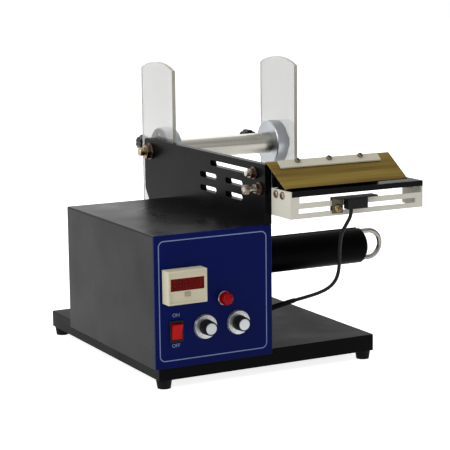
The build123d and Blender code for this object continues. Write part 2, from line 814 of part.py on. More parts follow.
def make_knob():
    """Knob in its own frame: skirt, core and spindle in one piece, with a ribbed grip around the core."""
    skirt_top = skirt_lift + skirt_height
    core = Pos(0, 0, skirt_lift + skirt_height / 2) * Cone(
        skirt_diameter / 2, skirt_diameter / 2 - skirt_taper, skirt_height)
    nut_room = pot_nut_flats / math.sqrt(3) + free_gap
    core -= rod_z(0, 0, 0, pot_bush_length + free_gap, 2 * nut_room)
    boss = rod_z(0, 0, pot_bush_length + free_gap, knob_height, cap_diameter)
    boss = fillet(boss.edges().group_by(Axis.Z)[-1], cap_round)
    core += boss
    core += rod_z(0, 0, -panel_thickness - spindle_depth, knob_height / 2, spindle_diameter)
    grip_top = knob_height - cap_proud
    grip_height = grip_top - skirt_top
    grip = Pos(0, 0, skirt_top + grip_height / 2) * Cone(grip_diameter / 2, grip_top_diameter / 2, grip_height)
    grip -= rod_z(0, 0, skirt_top - 1, grip_top + 1, cap_diameter + 2 * screw_gap)
    lean = math.degrees(math.atan2((grip_diameter - grip_top_diameter) / 2, grip_height))
    for index in range(grip_ribs):
        angle = 360 / grip_ribs * index
        groove = Cylinder(grip_rib_depth, 2 * grip_height)
        middle_radius = (grip_diameter + grip_top_diameter) / 4
        grip -= Rot(0, 0, angle) * Pos(middle_radius, 0, skirt_top + grip_height / 2) * Rot(0, -lean, 0) * groove
    return core, grip


def make_pots():
    """Two potentiometers with their panel nuts, and the knobs on their spindles."""
    pieces = {}
    nuts = []
    core, grip = make_knob()
    for name, from_left in (("left", left_knob_from_left), ("right", right_knob_from_left)):
        place = on_panel(from_left, knob_above_base)
        back = -panel_thickness
        pot = rod_z(0, 0, back - pot_depth, back, pot_diameter)
        pot += rod_z(0, 0, back, pot_bush_length, pot_bush_diameter)
        pot -= rod_z(0, 0, back - spindle_depth - free_gap, pot_bush_length + 1,
                     spindle_diameter + 2 * running_clearance)
        nut = extrude(RegularPolygon(pot_nut_flats / math.sqrt(3), 6), amount=pot_nut_height)
        nut -= rod_z(0, 0, -1, pot_nut_height + 1, pot_bush_diameter + 2 * screw_gap)
        pieces[name + "_pot"] = place * pot
        pieces[name + "_knob_core"] = place * core
        pieces[name + "_knob_grip"] = place * grip
        nuts.append(place * nut)
    pieces["pot_nuts"] = Compound(children=nuts)
    return pieces


def make_rewind():
    """Gear motor behind the side plate, and the shaft, roller and wire clip that it turns."""
    gearbox_left = plate_left - gearbox_length
    gearbox = rod_x(gearbox_left, plate_left, rewind_y, rewind_z, gearbox_diameter)
    shaft_left = plate_left - rewind_shaft_in_gearbox
    running_bore = rewind_shaft_diameter + 2 * running_clearance
    gearbox -= rod_x(shaft_left - free_gap, plate_left + 1, rewind_y, rewind_z, running_bore)
    motor = rod_x(gearbox_left - motor_length, gearbox_left, rewind_y, rewind_z, motor_diameter)
    motor = fillet(motor.edges().group_by(Axis.X)[0], base_sheet)
    screws = []
    for y, z in gearbox_screw_places():
        tip = plate_left - gearbox_screw_depth
        gearbox -= rod_x(tip - 1, plate_left + 1, y, z, gearbox_screw_diameter + 2 * screw_gap)
        shank = rod_x(tip, plate_right, y, z, gearbox_screw_diameter)
        head = rod_x(plate_right, plate_right + gearbox_screw_head_height, y, z, gearbox_screw_head)
        screws.append(shank + head)
    bearing = rod_x(plate_left, plate_right, rewind_y, rewind_z, bearing_diameter)
    bearing -= rod_x(plate_left - 1, plate_right + 1, rewind_y, rewind_z, running_bore)
    shaft_right = roller_left + rewind_shaft_in_roller
    shaft = rod_x(shaft_left, shaft_right, rewind_y, rewind_z, rewind_shaft_diameter)
    roller = rod_x(roller_left, roller_right, rewind_y, rewind_z, roller_diameter)
    roller = chamfer(roller.edges().group_by(Axis.X)[-1], roller_chamfer)
    roller -= rod_x(roller_left - 1, shaft_right + free_gap, rewind_y, rewind_z,
                    rewind_shaft_diameter + 2 * screw_gap)
    groove_left = roller_right - clip_leg_length - clip_groove_end
    groove_width = clip_wire + 2 * clip_groove_gap
    for side in (-1, 1):
        leg_z = rewind_z + side * clip_leg_offset
        out_z = rewind_z + side * roller_diameter
        roller -= rod_x(groove_left, roller_right + 1, rewind_y, leg_z, groove_width)
        roller -= block(groove_left, roller_right + 1, rewind_y - groove_width / 2, rewind_y + groove_width / 2,
                        min(leg_z, out_z), max(leg_z, out_z))
    leg_start = roller_right - clip_leg_length
    leg_end = roller_right + clip_stand_off
    top_z = rewind_z + clip_leg_offset
    low_z = rewind_z - clip_leg_offset
    path = Wire([
        Edge.make_line((leg_start, rewind_y, top_z), (leg_end, rewind_y, top_z)),
        Edge.make_three_point_arc((leg_end, rewind_y, top_z),
                                  (leg_end + clip_leg_offset, rewind_y, rewind_z),
                                  (leg_end, rewind_y, low_z)),
        Edge.make_line((leg_end, rewind_y, low_z), (leg_start, rewind_y, low_z)),
    ])
    start = Plane((leg_start, rewind_y, top_z), z_dir=(1, 0, 0))
    clip = sweep(start * Circle(clip_wire / 2), path=path)
    return {
        "gearbox": gearbox,
        "motor_can": motor,
        "gearbox_screws": Compound(children=screws),
        "shaft_bearing": bearing,
        "rewind_shaft": shaft,
        "rewind_roller": roller,
        "liner_clip": clip,
    }


def make_axle():
    """Supply axle clamped on the side plate, with a flanged nut on its left and a round nut on its right."""
    left_end = plate_left - axle_nut_flange_height - axle_nut_height - axle_stub
    right_nut = tube_right + free_gap
    nut_length = axle_nut_flange_height + axle_nut_height
    axle = rod_x(left_end, right_nut + end_nut_length + axle_end_stub, supply_y, supply_z, axle_diameter)
    axle = chamfer(axle.edges().group_by(Axis.X)[0] + axle.edges().group_by(Axis.X)[-1], axle_diameter / 10)
    axle += rod_x(plate_right, plate_right + axle_shoulder, supply_y, supply_z, axle_shoulder_diameter)
    hole = axle_diameter + 2 * screw_gap
    left_nut = rod_x(plate_left - axle_nut_flange_height, plate_left, supply_y, supply_z, axle_nut_flange)
    left_nut += hex_x(plate_left - nut_length, plate_left, supply_y, supply_z, axle_nut_flats)
    left_nut -= rod_x(plate_left - nut_length - 1, plate_left + 1, supply_y, supply_z, hole)
    end_nut = rod_x(right_nut, right_nut + end_nut_length, supply_y, supply_z, end_nut_diameter)
    end_nut -= rod_x(right_nut - 1, right_nut + end_nut_length + 1, supply_y, supply_z, hole)
    return {"supply_axle": axle, "axle_nuts": Compound(children=[left_nut, end_nut])}


def make_supply_tube():
    """Tube that carries the label roll, turning on two bushes."""
    tube = rod_x(tube_left, tube_right, supply_y, supply_z, supply_tube_diameter)
    tube -= rod_x(tube_left - 1, tube_right + 1, supply_y, supply_z, supply_tube_bore)
    bushes = []
    for left in (tube_left, tube_right - supply_bush_length):
        bush = rod_x(left, left + supply_bush_length, supply_y, supply_z, supply_tube_bore - 2 * screw_gap)
        bush -= rod_x(left - 1, left + supply_bush_length + 1, supply_y, supply_z,
                      axle_diameter + 2 * running_clearance)
        bushes.append(bush)
    return {"supply_tube": tube, "supply_bushes": Compound(children=bushes)}


def make_strip(left):
    """Clear guide strip with rounded ends, between X = left and its far face."""
    right = left + strip_thickness
    half = strip_width / 2
    upper = block(left, right, strip_y - half, strip_y + half, supply_z, supply_z + strip_reach)
    upper &= rod_x(left, right, strip_y, supply_z, 2 * strip_reach)
    lower = block(left, right, strip_y - half, strip_y + half, supply_z - strip_drop, supply_z)
    lower &= rod_x(left, right, strip_y, supply_z, 2 * strip_drop)
    strip = upper + lower
    across = strip.edges().filter_by(Axis.X)
    corners = across.group_by(Axis.Z)[0] + across.group_by(Axis.Z)[-1]
    strip = fillet(corners, strip_corner)
    strip -= rod_x(left - 1, right + 1, supply_y, supply_z, supply_tube_diameter + 2 * strip_bore_gap)
    return strip


def make_guide(name, strip_left, inward, thumb_tilt):
    """One roll guide: strip, collar on its inner face, screws and thumbscrew; inward is +1 or -1 along X."""
    strip_right = strip_left + strip_thickness
    inner_face = strip_right if inward > 0 else strip_left
    outer_face = strip_left if inward > 0 else strip_right
    collar_far = inner_face + inward * collar_thickness
    collar_left = min(inner_face, collar_far)
    collar_right = max(inner_face, collar_far)
    collar = rod_x(collar_left, collar_right, supply_y, supply_z, collar_diameter)
    collar = chamfer(collar.edges(), collar_chamfer)
    collar -= rod_x(collar_left - 1, collar_right + 1, supply_y, supply_z,
                    supply_tube_diameter + 2 * sliding_clearance)
    strip = make_strip(strip_left)
    screws = []
    hole = strip_screw_diameter + 2 * screw_gap
    head_inner = outer_face + inward * strip_screw_head_height
    tip = inner_face + inward * strip_screw_depth
    for side in (-1, 1):
        z = supply_z + side * strip_screw_offset
        near, far = sorted((outer_face - inward, tip + inward))
        cutter = rod_x(near, far, supply_y, z, hole)
        near, far = sorted((outer_face - inward, head_inner))
        strip -= cutter
        strip -= rod_x(near, far, supply_y, z, strip_screw_head + 2 * fit_gap)
        collar -= cutter
        near, far = sorted((head_inner, tip))
        shank = rod_x(near, far, supply_y, z, strip_screw_diameter)
        near, far = sorted((outer_face, head_inner))
        screws.append(shank + rod_x(near, far, supply_y, z, strip_screw_head))
    middle = (collar_left + collar_right) / 2
    thumb_inner = supply_tube_diameter / 2 + free_gap
    thumb_outer = collar_diameter / 2 + thumb_screw_out
    turned = Pos(0, supply_y, supply_z) * Rot(thumb_tilt, 0, 0) * Pos(0, -supply_y, -supply_z)
    collar -= turned * rod_y(middle, supply_y + thumb_inner - 1, supply_y + collar_diameter, supply_z,
                             thumb_screw_diameter + 2 * screw_gap)
    knob = rod_z(0, 0, 0, thumb_length, thumb_diameter)
    knob = fillet(knob.edges(), thumb_edge)
    for index in range(thumb_flutes):
        turn = Rot(0, 0, 360 / thumb_flutes * index)
        flute_offset = thumb_diameter / 2 + thumb_flute_diameter / 4
        knob -= turn * Pos(flute_offset, 0, 0) * rod_z(0, 0, -1, thumb_length + 1, thumb_flute_diameter)
    knob = Pos(middle, supply_y + thumb_outer, supply_z) * Rot(-90, 0, 0) * knob
    thumb = knob + rod_y(middle, supply_y + thumb_inner, supply_y + thumb_outer + 1, supply_z,
                         thumb_screw_diameter)
    return {
        name + "_collar": collar,
        name + "_strip": strip,
        name + "_strip_screws": Compound(children=screws),
        name + "_thumbscrew": turned * thumb,
    }


def make_bracket():
    """Pale sheet bracket: left ear bolted to the plate, slotted front strip, right ear."""
    ear_front_top = bracket_top
    ear_tail_bottom = plate_top - ear_rear_drop - ear_tail_height
    ear = profile_yz(
        [
            (head_front, bracket_bottom),
            (panel_front + ear_rear_start, bracket_bottom),
            (panel_front + ear_rear_reach, ear_tail_bottom),
            (panel_front + ear_rear_reach, plate_top - ear_rear_drop),
            (panel_front + ear_step_back, plate_top - ear_rear_drop),
            (panel_front + ear_step_back, ear_front_top),
            (head_front, ear_front_top),
        ],
        bracket_left,
        bracket_left + bracket_sheet,
    )
    face = head_front + bracket_sheet
    strip = block(bracket_left, bracket_right, head_front, face, bracket_bottom, strip_top)
    strip -= block(slot_left, slot_right, head_front - 1, face + 1, slot_bottom,
                   slot_bottom + bracket_slot_height)
    web = block(bracket_left, bracket_left + bracket_web_width, head_front, face, strip_top, bar_bottom)
    right_inner = bracket_right - bracket_sheet
    right_ear = block(right_inner, bracket_right, head_front, head_front + right_ear_depth,
                      bracket_bottom, bar_bottom)
    lip_front = head_front + bar_block_front
    lip_bottom = bar_bottom - bracket_sheet
    lip = block(right_inner - ear_lip_width, right_inner, lip_front, lip_front + bar_block_depth,
                lip_bottom, bar_bottom)
    bracket = ear + strip + web + right_ear + lip
    lower_z = short_slot_z
    hole = head_bolt_diameter + 2 * screw_gap
    for y, z in ((upper_bolt_y, long_slot_z), (lower_bolt_y, lower_z)):
        bracket -= rod_x(bracket_left - 1, bracket_left + bracket_sheet + 1, y, z, hole)
    screw_z = bracket_top - ear_screw_drop
    lip_x = right_inner - ear_lip_width / 2
    tip_x = bracket_left + bracket_sheet + ear_screw_depth
    tip_z = bar_bottom + lip_screw_depth
    hole = ear_screw_diameter + 2 * screw_gap
    screws = []
    bar_cuts = []
    for index in range(2):
        y = head_front + ear_screw_front + index * ear_screw_pitch
        bar_cuts.append(rod_x(bracket_left - 1, tip_x + screw_gap, y, screw_z, hole))
        bar_cuts.append(rod_z(lip_x, y, lip_bottom - 1, tip_z + screw_gap, hole))
        side_screw = rod_x(bracket_left, tip_x, y, screw_z, ear_screw_diameter)
        side_screw += rod_x(bracket_left - ear_screw_head_height, bracket_left, y, screw_z, ear_screw_head)
        lip_screw = rod_z(lip_x, y, lip_bottom, tip_z, ear_screw_diameter)
        lip_screw += rod_z(lip_x, y, lip_bottom - ear_screw_head_height, lip_bottom, ear_screw_head)
        screws += [side_screw, lip_screw]
    for cutter in bar_cuts:
        bracket -= cutter
    return {"peel_bracket": bracket, "bracket_screws": Compound(children=screws)}, bar_cuts


def make_sheet():
    """Sloping peel sheet, set to the right along its front, with its back edge curled down."""
    left = plate_right - sheet_past_plate
    right = left + sheet_width
    front_left = left + sheet_taper
    front_right = right + sheet_flare
    outline = Polygon((left, 0), (front_left, -sheet_length), (front_right, -sheet_length), (right, 0), align=None)
    flat = extrude(Pos(0, 0, -sheet_thickness) * outline, amount=sheet_thickness)
    curl = rod_x(left, right, 0, -sheet_curl, 2 * sheet_curl)
    curl -= rod_x(left - 1, right + 1, 0, -sheet_curl, 2 * (sheet_curl - sheet_thickness))
    curl &= block(left, right, 0, 2 * sheet_curl, -1.5 * sheet_curl, sheet_curl)
    tilt = math.degrees(math.atan2(sheet_rise, sheet_run))
    return Pos(0, sheet_back_y, sheet_back_z) * Rot(tilt, 0, 0) * (flat + curl)


def make_peel_parts(bar_cuts):
    """Black bar with its upright, the sloping peel sheet on it and the strip that clamps the sheet."""
    bar = block(bar_left, bracket_right, head_front, bar_back, bar_bottom, bar_top)
    block_back = bar_block_front + bar_block_depth
    bar += block(bar_left, bar_left + bar_block_length, head_front + bar_block_front, head_front + block_back,
                 bar_bottom - bar_block_drop, bar_bottom)
    slope = sheet_rise / sheet_run
    flange_under = -(sheet_thickness + bar_flange)
    drop = flange_under * math.hypot(1, slope)
    upright_front = bar_back - bar_upright_from_back - bar_upright
    upright_back = bar_back - bar_upright_from_back
    upright_top = [sheet_back_z + drop - (sheet_back_y - y) * slope + bar_flange / 2
                   for y in (upright_front, upright_back)]
    support_left = bar_left + bracket_sheet
    support_right = clamp_left + clamp_length
    bar += profile_yz(
        [
            (upright_front, bar_top - bar_thickness / 2),
            (upright_back, bar_top - bar_thickness / 2),
            (upright_back, upright_top[1]),
            (upright_front, upright_top[0]),
        ],
        support_left,
        support_right,
    )
    bar += profile_yz(slope_points(0, bar_flange_length, flange_under, -sheet_thickness),
                      support_left, support_right)
    for cutter in bar_cuts:
        bar -= cutter
    sheet = make_sheet()
    clamp = profile_yz(slope_points(0, clamp_width, 0, clamp_thickness), clamp_left, clamp_left + clamp_length)
    screws = []
    hole = clamp_screw_diameter + 2 * screw_gap
    for index in range(3):
        x = clamp_left + clamp_screw_first + index * clamp_screw_pitch
        s = clamp_screw_from_back
        cutter = slope_rod(x, s, flange_under - 1, clamp_thickness + 1, hole)
        bar -= cutter
        sheet -= cutter
        clamp -= cutter
        shank = slope_rod(x, s, flange_under, clamp_thickness, clamp_screw_diameter)
        head = slope_rod(x, s, clamp_thickness, clamp_thickness + clamp_screw_head_height, clamp_screw_head)
        screws.append(shank + head)
    return {
        "peel_bar": bar,
        "peel_sheet": sheet,
        "clamp_strip": clamp,
        "clamp_screws": Compound(children=screws),
    }


def make_head_bolts():
    """Bolts, washers and nuts that hold the bracket's ear on the side plate."""
    ear_face = bracket_left + bracket_sheet
    bolts = []
    nuts = []
    washers = []
    hole = head_bolt_diameter + 2 * screw_gap
    places = (
        (upper_bolt_y, long_slot_z, upper_bolt_tail, 1),
        (lower_bolt_y, short_slot_z, lower_bolt_tail, 2),
    )
    for y, z, tail, nut_count in places:
        washer_left = plate_left - head_washer_thickness
        washer = rod_x(washer_left, plate_left, y, z, head_washer_diameter)
        washers.append(washer - rod_x(washer_left - 1, plate_left + 1, y, z, hole))
        bolt_left = washer_left - head_nut_height - tail
        shank = rod_x(bolt_left, ear_face, y, z, head_bolt_diameter)
        bolts.append(shank + hex_x(ear_face, ear_face + head_bolt_head_height, y, z, head_bolt_flats))
        nut_rights = [washer_left, bolt_left + head_nut_height][:nut_count]
        for nut_right in nut_rights:
            nut = hex_x(nut_right - head_nut_height, nut_right, y, z, head_bolt_flats)
            nuts.append(nut - rod_x(nut_right - head_nut_height - 1, nut_right + 1, y, z, hole))
    return {
        "head_bolts": Compound(children=bolts),
        "head_nuts": Compound(children=nuts),
        "head_washers": Compound(children=washers),
    }


def make_sensor():
    """Label sensor under a bent holder that rides on the bracket's front strip."""
    body_back = head_front - sensor_gap
    body_front = body_back - sensor_depth
    body_top = strip_top + holder_lift
    body_bottom = body_top - sensor_height
    body = block(sensor_left, sensor_right, body_front, body_back, body_bottom, body_top)
    body = fillet(body.edges().group_by(Axis.Y)[0] + body.edges().filter_by(Axis.Y), sensor_edge)
    holder_x0 = sensor_left - holder_left
    tab_x1 = holder_x0 + holder_tab_width
    rear_face = head_front + bracket_sheet + free_gap
    tab_bottom = body_top - holder_tab_drop
    front_face = head_front - free_gap
    holder = block(holder_x0, sensor_right + holder_right, body_front, rear_face + holder_sheet,
                   body_top, body_top + holder_sheet)
    holder += block(holder_x0, tab_x1, front_face - holder_sheet, front_face,
                    tab_bottom, body_top + holder_sheet)
    holder += block(holder_x0, tab_x1, rear_face, rear_face + holder_sheet, tab_bottom, body_top + holder_sheet)
    screw_x = (holder_x0 + tab_x1) / 2
    head_back = front_face - holder_sheet
    tip = rear_face + holder_sheet + sensor_screw_diameter / 2
    holder -= rod_y(screw_x, head_back - 1, tip + 1, slot_middle, sensor_screw_diameter + 2 * screw_gap)
    screw = rod_y(screw_x, head_back, tip, slot_middle, sensor_screw_diameter)
    screw += rod_y(screw_x, head_back - sensor_screw_head_height, head_back, slot_middle, sensor_screw_head)
    return {"sensor_body": body, "sensor_holder": holder, "sensor_screw": screw}


def route_radii(points):
    """Bend radius at each inner point of a route: as large as its two runs allow."""
    radii = []
    for before, here, after in zip(points, points[1:], points[2:]):
        run_in = Vector(*here) - Vector(*before)
        run_out = Vector(*after) - Vector(*here)
        half_turn = math.radians(run_in.get_angle(run_out)) / 2
        shorter = min(run_in.length, run_out.length)
        radii.append(cable_bend_share * shorter / math.tan(half_turn))
    return radii


def make_cable():
    """Sensor cable and the moulded relief around its first runs at the side plate."""
    radii = route_radii(cable_route)
    print("cable radii", [round(radius, 1) for radius in radii])
    path = FilletPolyline(*cable_route, radius=radii)
    start = Plane(path @ 0, z_dir=path % 0)
    cable = sweep(start * Circle(cable_diameter / 2), path=path.wire())
    section = math.pi * cable_diameter ** 2 / 4
    print("cable length", round(path.length, 1), "volume share", round(cable.volume / (section * path.length), 4))
    relief_path = Wire(path.edges()[:2 * relief_runs])
    ring = Circle(relief_diameter / 2) - Circle(cable_diameter / 2 + screw_gap)
    relief = sweep(start * ring, path=relief_path)
    flange = rod_x(plate_right, plate_right + relief_flange_thickness, relief_y, relief_z, relief_flange_diameter)
    flange += rod_x(plate_left, plate_right, relief_y, relief_z, relief_diameter)
    return {"sensor_cable": cable, "cable_relief": flange + relief}


def make_electrics():
    """Power supply on the tray, control board carried by the potentiometers, mains inlet in the back wall."""
    case_left = cover_left + cover_sheet + supply_case_margin
    case_rear = cover_rear - cover_sheet - supply_case_margin - inlet_depth
    case = block(case_left, case_left + supply_case_width, case_rear - supply_case_depth, case_rear,
                 base_top, base_top + supply_case_height)
    case = fillet(case.edges().filter_by(Axis.Z) + case.edges().group_by(Axis.Z)[-1], supply_case_edge)
    board_x = cover_left + (left_knob_from_left + right_knob_from_left) / 2
    board_z = base_top + knob_above_base
    board_front = panel_back + pot_depth
    board_bottom = board_z - board_height / 2
    board = block(board_x - board_width / 2, board_x + board_width / 2, board_front, board_front + board_thickness,
                  board_bottom, board_bottom + board_height)
    parts_front = board_front + board_thickness
    for share, size in ((0.2, 12.0), (0.5, 16.0), (0.8, 10.0)):
        x = board_x - board_width / 2 + share * board_width
        board += block(x - size / 2, x + size / 2, parts_front, parts_front + board_parts_height,
                       board_z - size / 2, board_z + size / 2)
    inlet_x = cover_left + inlet_from_left
    inlet_z = base_top + inlet_above_base
    half_width = inlet_width / 2
    half_height = inlet_height / 2
    inlet = block(inlet_x - half_width, inlet_x + half_width, cover_rear - inlet_depth, cover_rear,
                  inlet_z - half_height, inlet_z + half_height)
    inlet += block(inlet_x - half_width - inlet_flange_margin, inlet_x + half_width + inlet_flange_margin,
                   cover_rear, cover_rear + inlet_flange_thickness,
                   inlet_z - half_height - inlet_flange_margin, inlet_z + half_height + inlet_flange_margin)
    pocket_x = half_width - inlet_pocket_wall
    pocket_z = half_height - inlet_pocket_wall
    outer = cover_rear + inlet_flange_thickness
    inlet -= block(inlet_x - pocket_x, inlet_x + pocket_x, outer - inlet_pocket_depth, outer + 1,
                   inlet_z - pocket_z, inlet_z + pocket_z)
    for step, lift in ((-1, -1), (0, 1), (1, -1)):
        x = inlet_x + step * inlet_pin_pitch
        z = inlet_z + lift * inlet_pin_width
        inlet += block(x - inlet_pin_width / 2, x + inlet_pin_width / 2, outer - inlet_pocket_depth - 1,
                       outer - inlet_pin_recess, z - inlet_pin_height / 2, z + inlet_pin_height / 2)
    return {"power_supply": case, "control_board": board, "power_inlet": inlet}


def build():
    """All pieces of the machine, by node name."""
    pieces = {}
    pieces.update(make_base())
    pieces.update(make_cover())
    pieces.update(make_panel())
    pieces.update(make_side_plate())
    pieces.update(make_counter())
    pieces.update(make_lamp())
    pieces.update(make_rocker())
    pieces.update(make_pots())
    pieces.update(make_rewind())
    pieces.update(make_axle())
    pieces.update(make_supply_tube())
    pieces.update(make_guide("left", left_strip_left, 1, left_thumb_tilt))
    pieces.update(make_guide("right", right_strip_left, -1, right_thumb_tilt))
    bracket, bar_cuts = make_bracket()
    pieces.update(bracket)
    pieces.update(make_peel_parts(bar_cuts))
    pieces.update(make_head_bolts())
    pieces.update(make_sensor())
    pieces.update(make_cable())
    pieces.update(make_electrics())
    return pieces


os.makedirs("parts", exist_ok=True)
for node, piece in build().items():
    export_step(piece, os.path.join("parts", node + ".step"))
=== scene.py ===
"""Dresses the table-top label peeler: finishes, printed panel, sensor cable and screw heads."""

import json
import logging
import math
from dataclasses import dataclass, replace
from enum import Enum
from typing import Callable, Dict, List, Sequence, Tuple, Union

import bmesh
import bpy
from mathutils import Matrix, Vector

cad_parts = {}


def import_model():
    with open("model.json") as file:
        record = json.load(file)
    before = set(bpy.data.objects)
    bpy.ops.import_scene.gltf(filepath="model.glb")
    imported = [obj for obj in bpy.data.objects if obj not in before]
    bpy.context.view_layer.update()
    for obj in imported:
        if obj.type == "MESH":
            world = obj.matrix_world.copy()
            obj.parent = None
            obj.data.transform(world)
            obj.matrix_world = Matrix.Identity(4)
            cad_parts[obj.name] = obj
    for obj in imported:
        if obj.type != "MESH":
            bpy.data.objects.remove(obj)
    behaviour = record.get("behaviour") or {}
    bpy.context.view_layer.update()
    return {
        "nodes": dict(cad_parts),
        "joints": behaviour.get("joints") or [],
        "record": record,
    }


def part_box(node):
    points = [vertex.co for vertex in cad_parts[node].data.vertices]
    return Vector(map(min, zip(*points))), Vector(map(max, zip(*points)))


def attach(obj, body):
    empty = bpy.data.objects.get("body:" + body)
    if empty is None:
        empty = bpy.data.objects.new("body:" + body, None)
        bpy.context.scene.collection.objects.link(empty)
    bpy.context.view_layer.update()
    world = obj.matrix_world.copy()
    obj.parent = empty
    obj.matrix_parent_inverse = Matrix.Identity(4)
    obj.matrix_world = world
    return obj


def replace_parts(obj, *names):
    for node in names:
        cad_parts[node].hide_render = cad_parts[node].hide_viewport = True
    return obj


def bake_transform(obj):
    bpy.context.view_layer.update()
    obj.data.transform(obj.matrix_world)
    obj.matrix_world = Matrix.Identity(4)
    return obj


Colour = Tuple[float, float, float]
Point = Tuple[float, float, float]
Tree = bpy.types.NodeTree
Socket = bpy.types.NodeSocket
Feed = Union[Socket, float, Tuple[float, ...]]
Material = bpy.types.Material
Mesh = bpy.types.Mesh
Face = bpy.types.MeshPolygon
Piece = bpy.types.Object
Work = bmesh.types.BMesh

LOG = logging.getLogger("label_peeler")
MACHINE = "machine_frame"
SENSOR = "sensor"
JOIN_DISTANCE = 0.00001


def to_linear(colour: Colour) -> Tuple[float, float, float, float]:
    """Turns a display colour into the scene's linear colour.

    Args:
        colour: red, green and blue as seen, from 0 to 1.

    Returns:
        The linear colour with full alpha.
    """
    linear = []
    for value in colour:
        if value <= 0.04045:
            linear.append(value / 12.92)
        else:
            linear.append(((value + 0.055) / 1.055) ** 2.4)
    return (linear[0], linear[1], linear[2], 1.0)


def feed(tree: Tree, socket: Socket, value: Feed) -> None:
    """Links a value into a socket, or sets it there if it is a constant.

    Args:
        tree: the tree that holds the socket.
        socket: the input to fill.
        value: another node's output, or a constant.
    """
    if isinstance(value, Socket):
        tree.links.new(value, socket)
    else:
        socket.default_value = value


def add_node(tree: Tree, kind: str, inputs: Dict[Union[int, str], Feed], output: str,
             **settings: Union[int, str]) -> Socket:
    """Adds a shader node.

    Args:
        tree: the tree that takes it.
        kind: its type.
        inputs: what goes into its sockets, by name or number.
        output: the name of the output wanted.
        settings: its other properties.

    Returns:
        That output.
    """
    node = tree.nodes.new(kind)
    for name, value in settings.items():
        setattr(node, name, value)
    for key, value in inputs.items():
        feed(tree, node.inputs[key], value)
    return node.outputs[output]


def spread(tree: Tree, value: Socket, from_low: float, from_high: float, to_low: float,
           to_high: float) -> Socket:
    """Adds a map range from one span to another.

    Args:
        tree: the tree that takes it.
        value: the value to map.
        from_low: where the first span starts.
        from_high: where it ends.
        to_low: what its start becomes.
        to_high: what its end becomes.

    Returns:
        The mapped value.
    """
    inputs = {
        "Value": value,
        "From Min": from_low,
        "From Max": from_high,
        "To Min": to_low,
        "To Max": to_high,
    }
    return add_node(tree, "ShaderNodeMapRange", inputs, "Result")


class Grain(Enum):
    """How the fine marks of a finish run."""

    SPECKLE = "even specks, as in powder coat or moulded plastic"
    ALONG_X = "drawn lines along X"
    RINGS_X = "turned rings about X"
    RINGS_Y = "turned rings about Y"


@dataclass(frozen=True)
class Finish:
    """One surface finish, with its colours as seen and the scale of its marks."""

    name: str
    colour: Colour
    second: Colour
    roughness: float
    metal: float = 0.0
    grain: Grain = Grain.SPECKLE
    grain_scale: float = 900.0
    cloud_scale: float = 14.0
    bump: float = 0.05
    roughness_spread: float = 0.08
    specular: float = 0.3
    transmission: float = 0.0
    ior: float = 1.5
    painted_glow: float = 0.0
    edge: float = 0.0004
    wear: float = 0.0
    wear_colour: Colour = (0.5, 0.5, 0.5)
    turned_at: Point = (0.0, 0.0, 0.0)


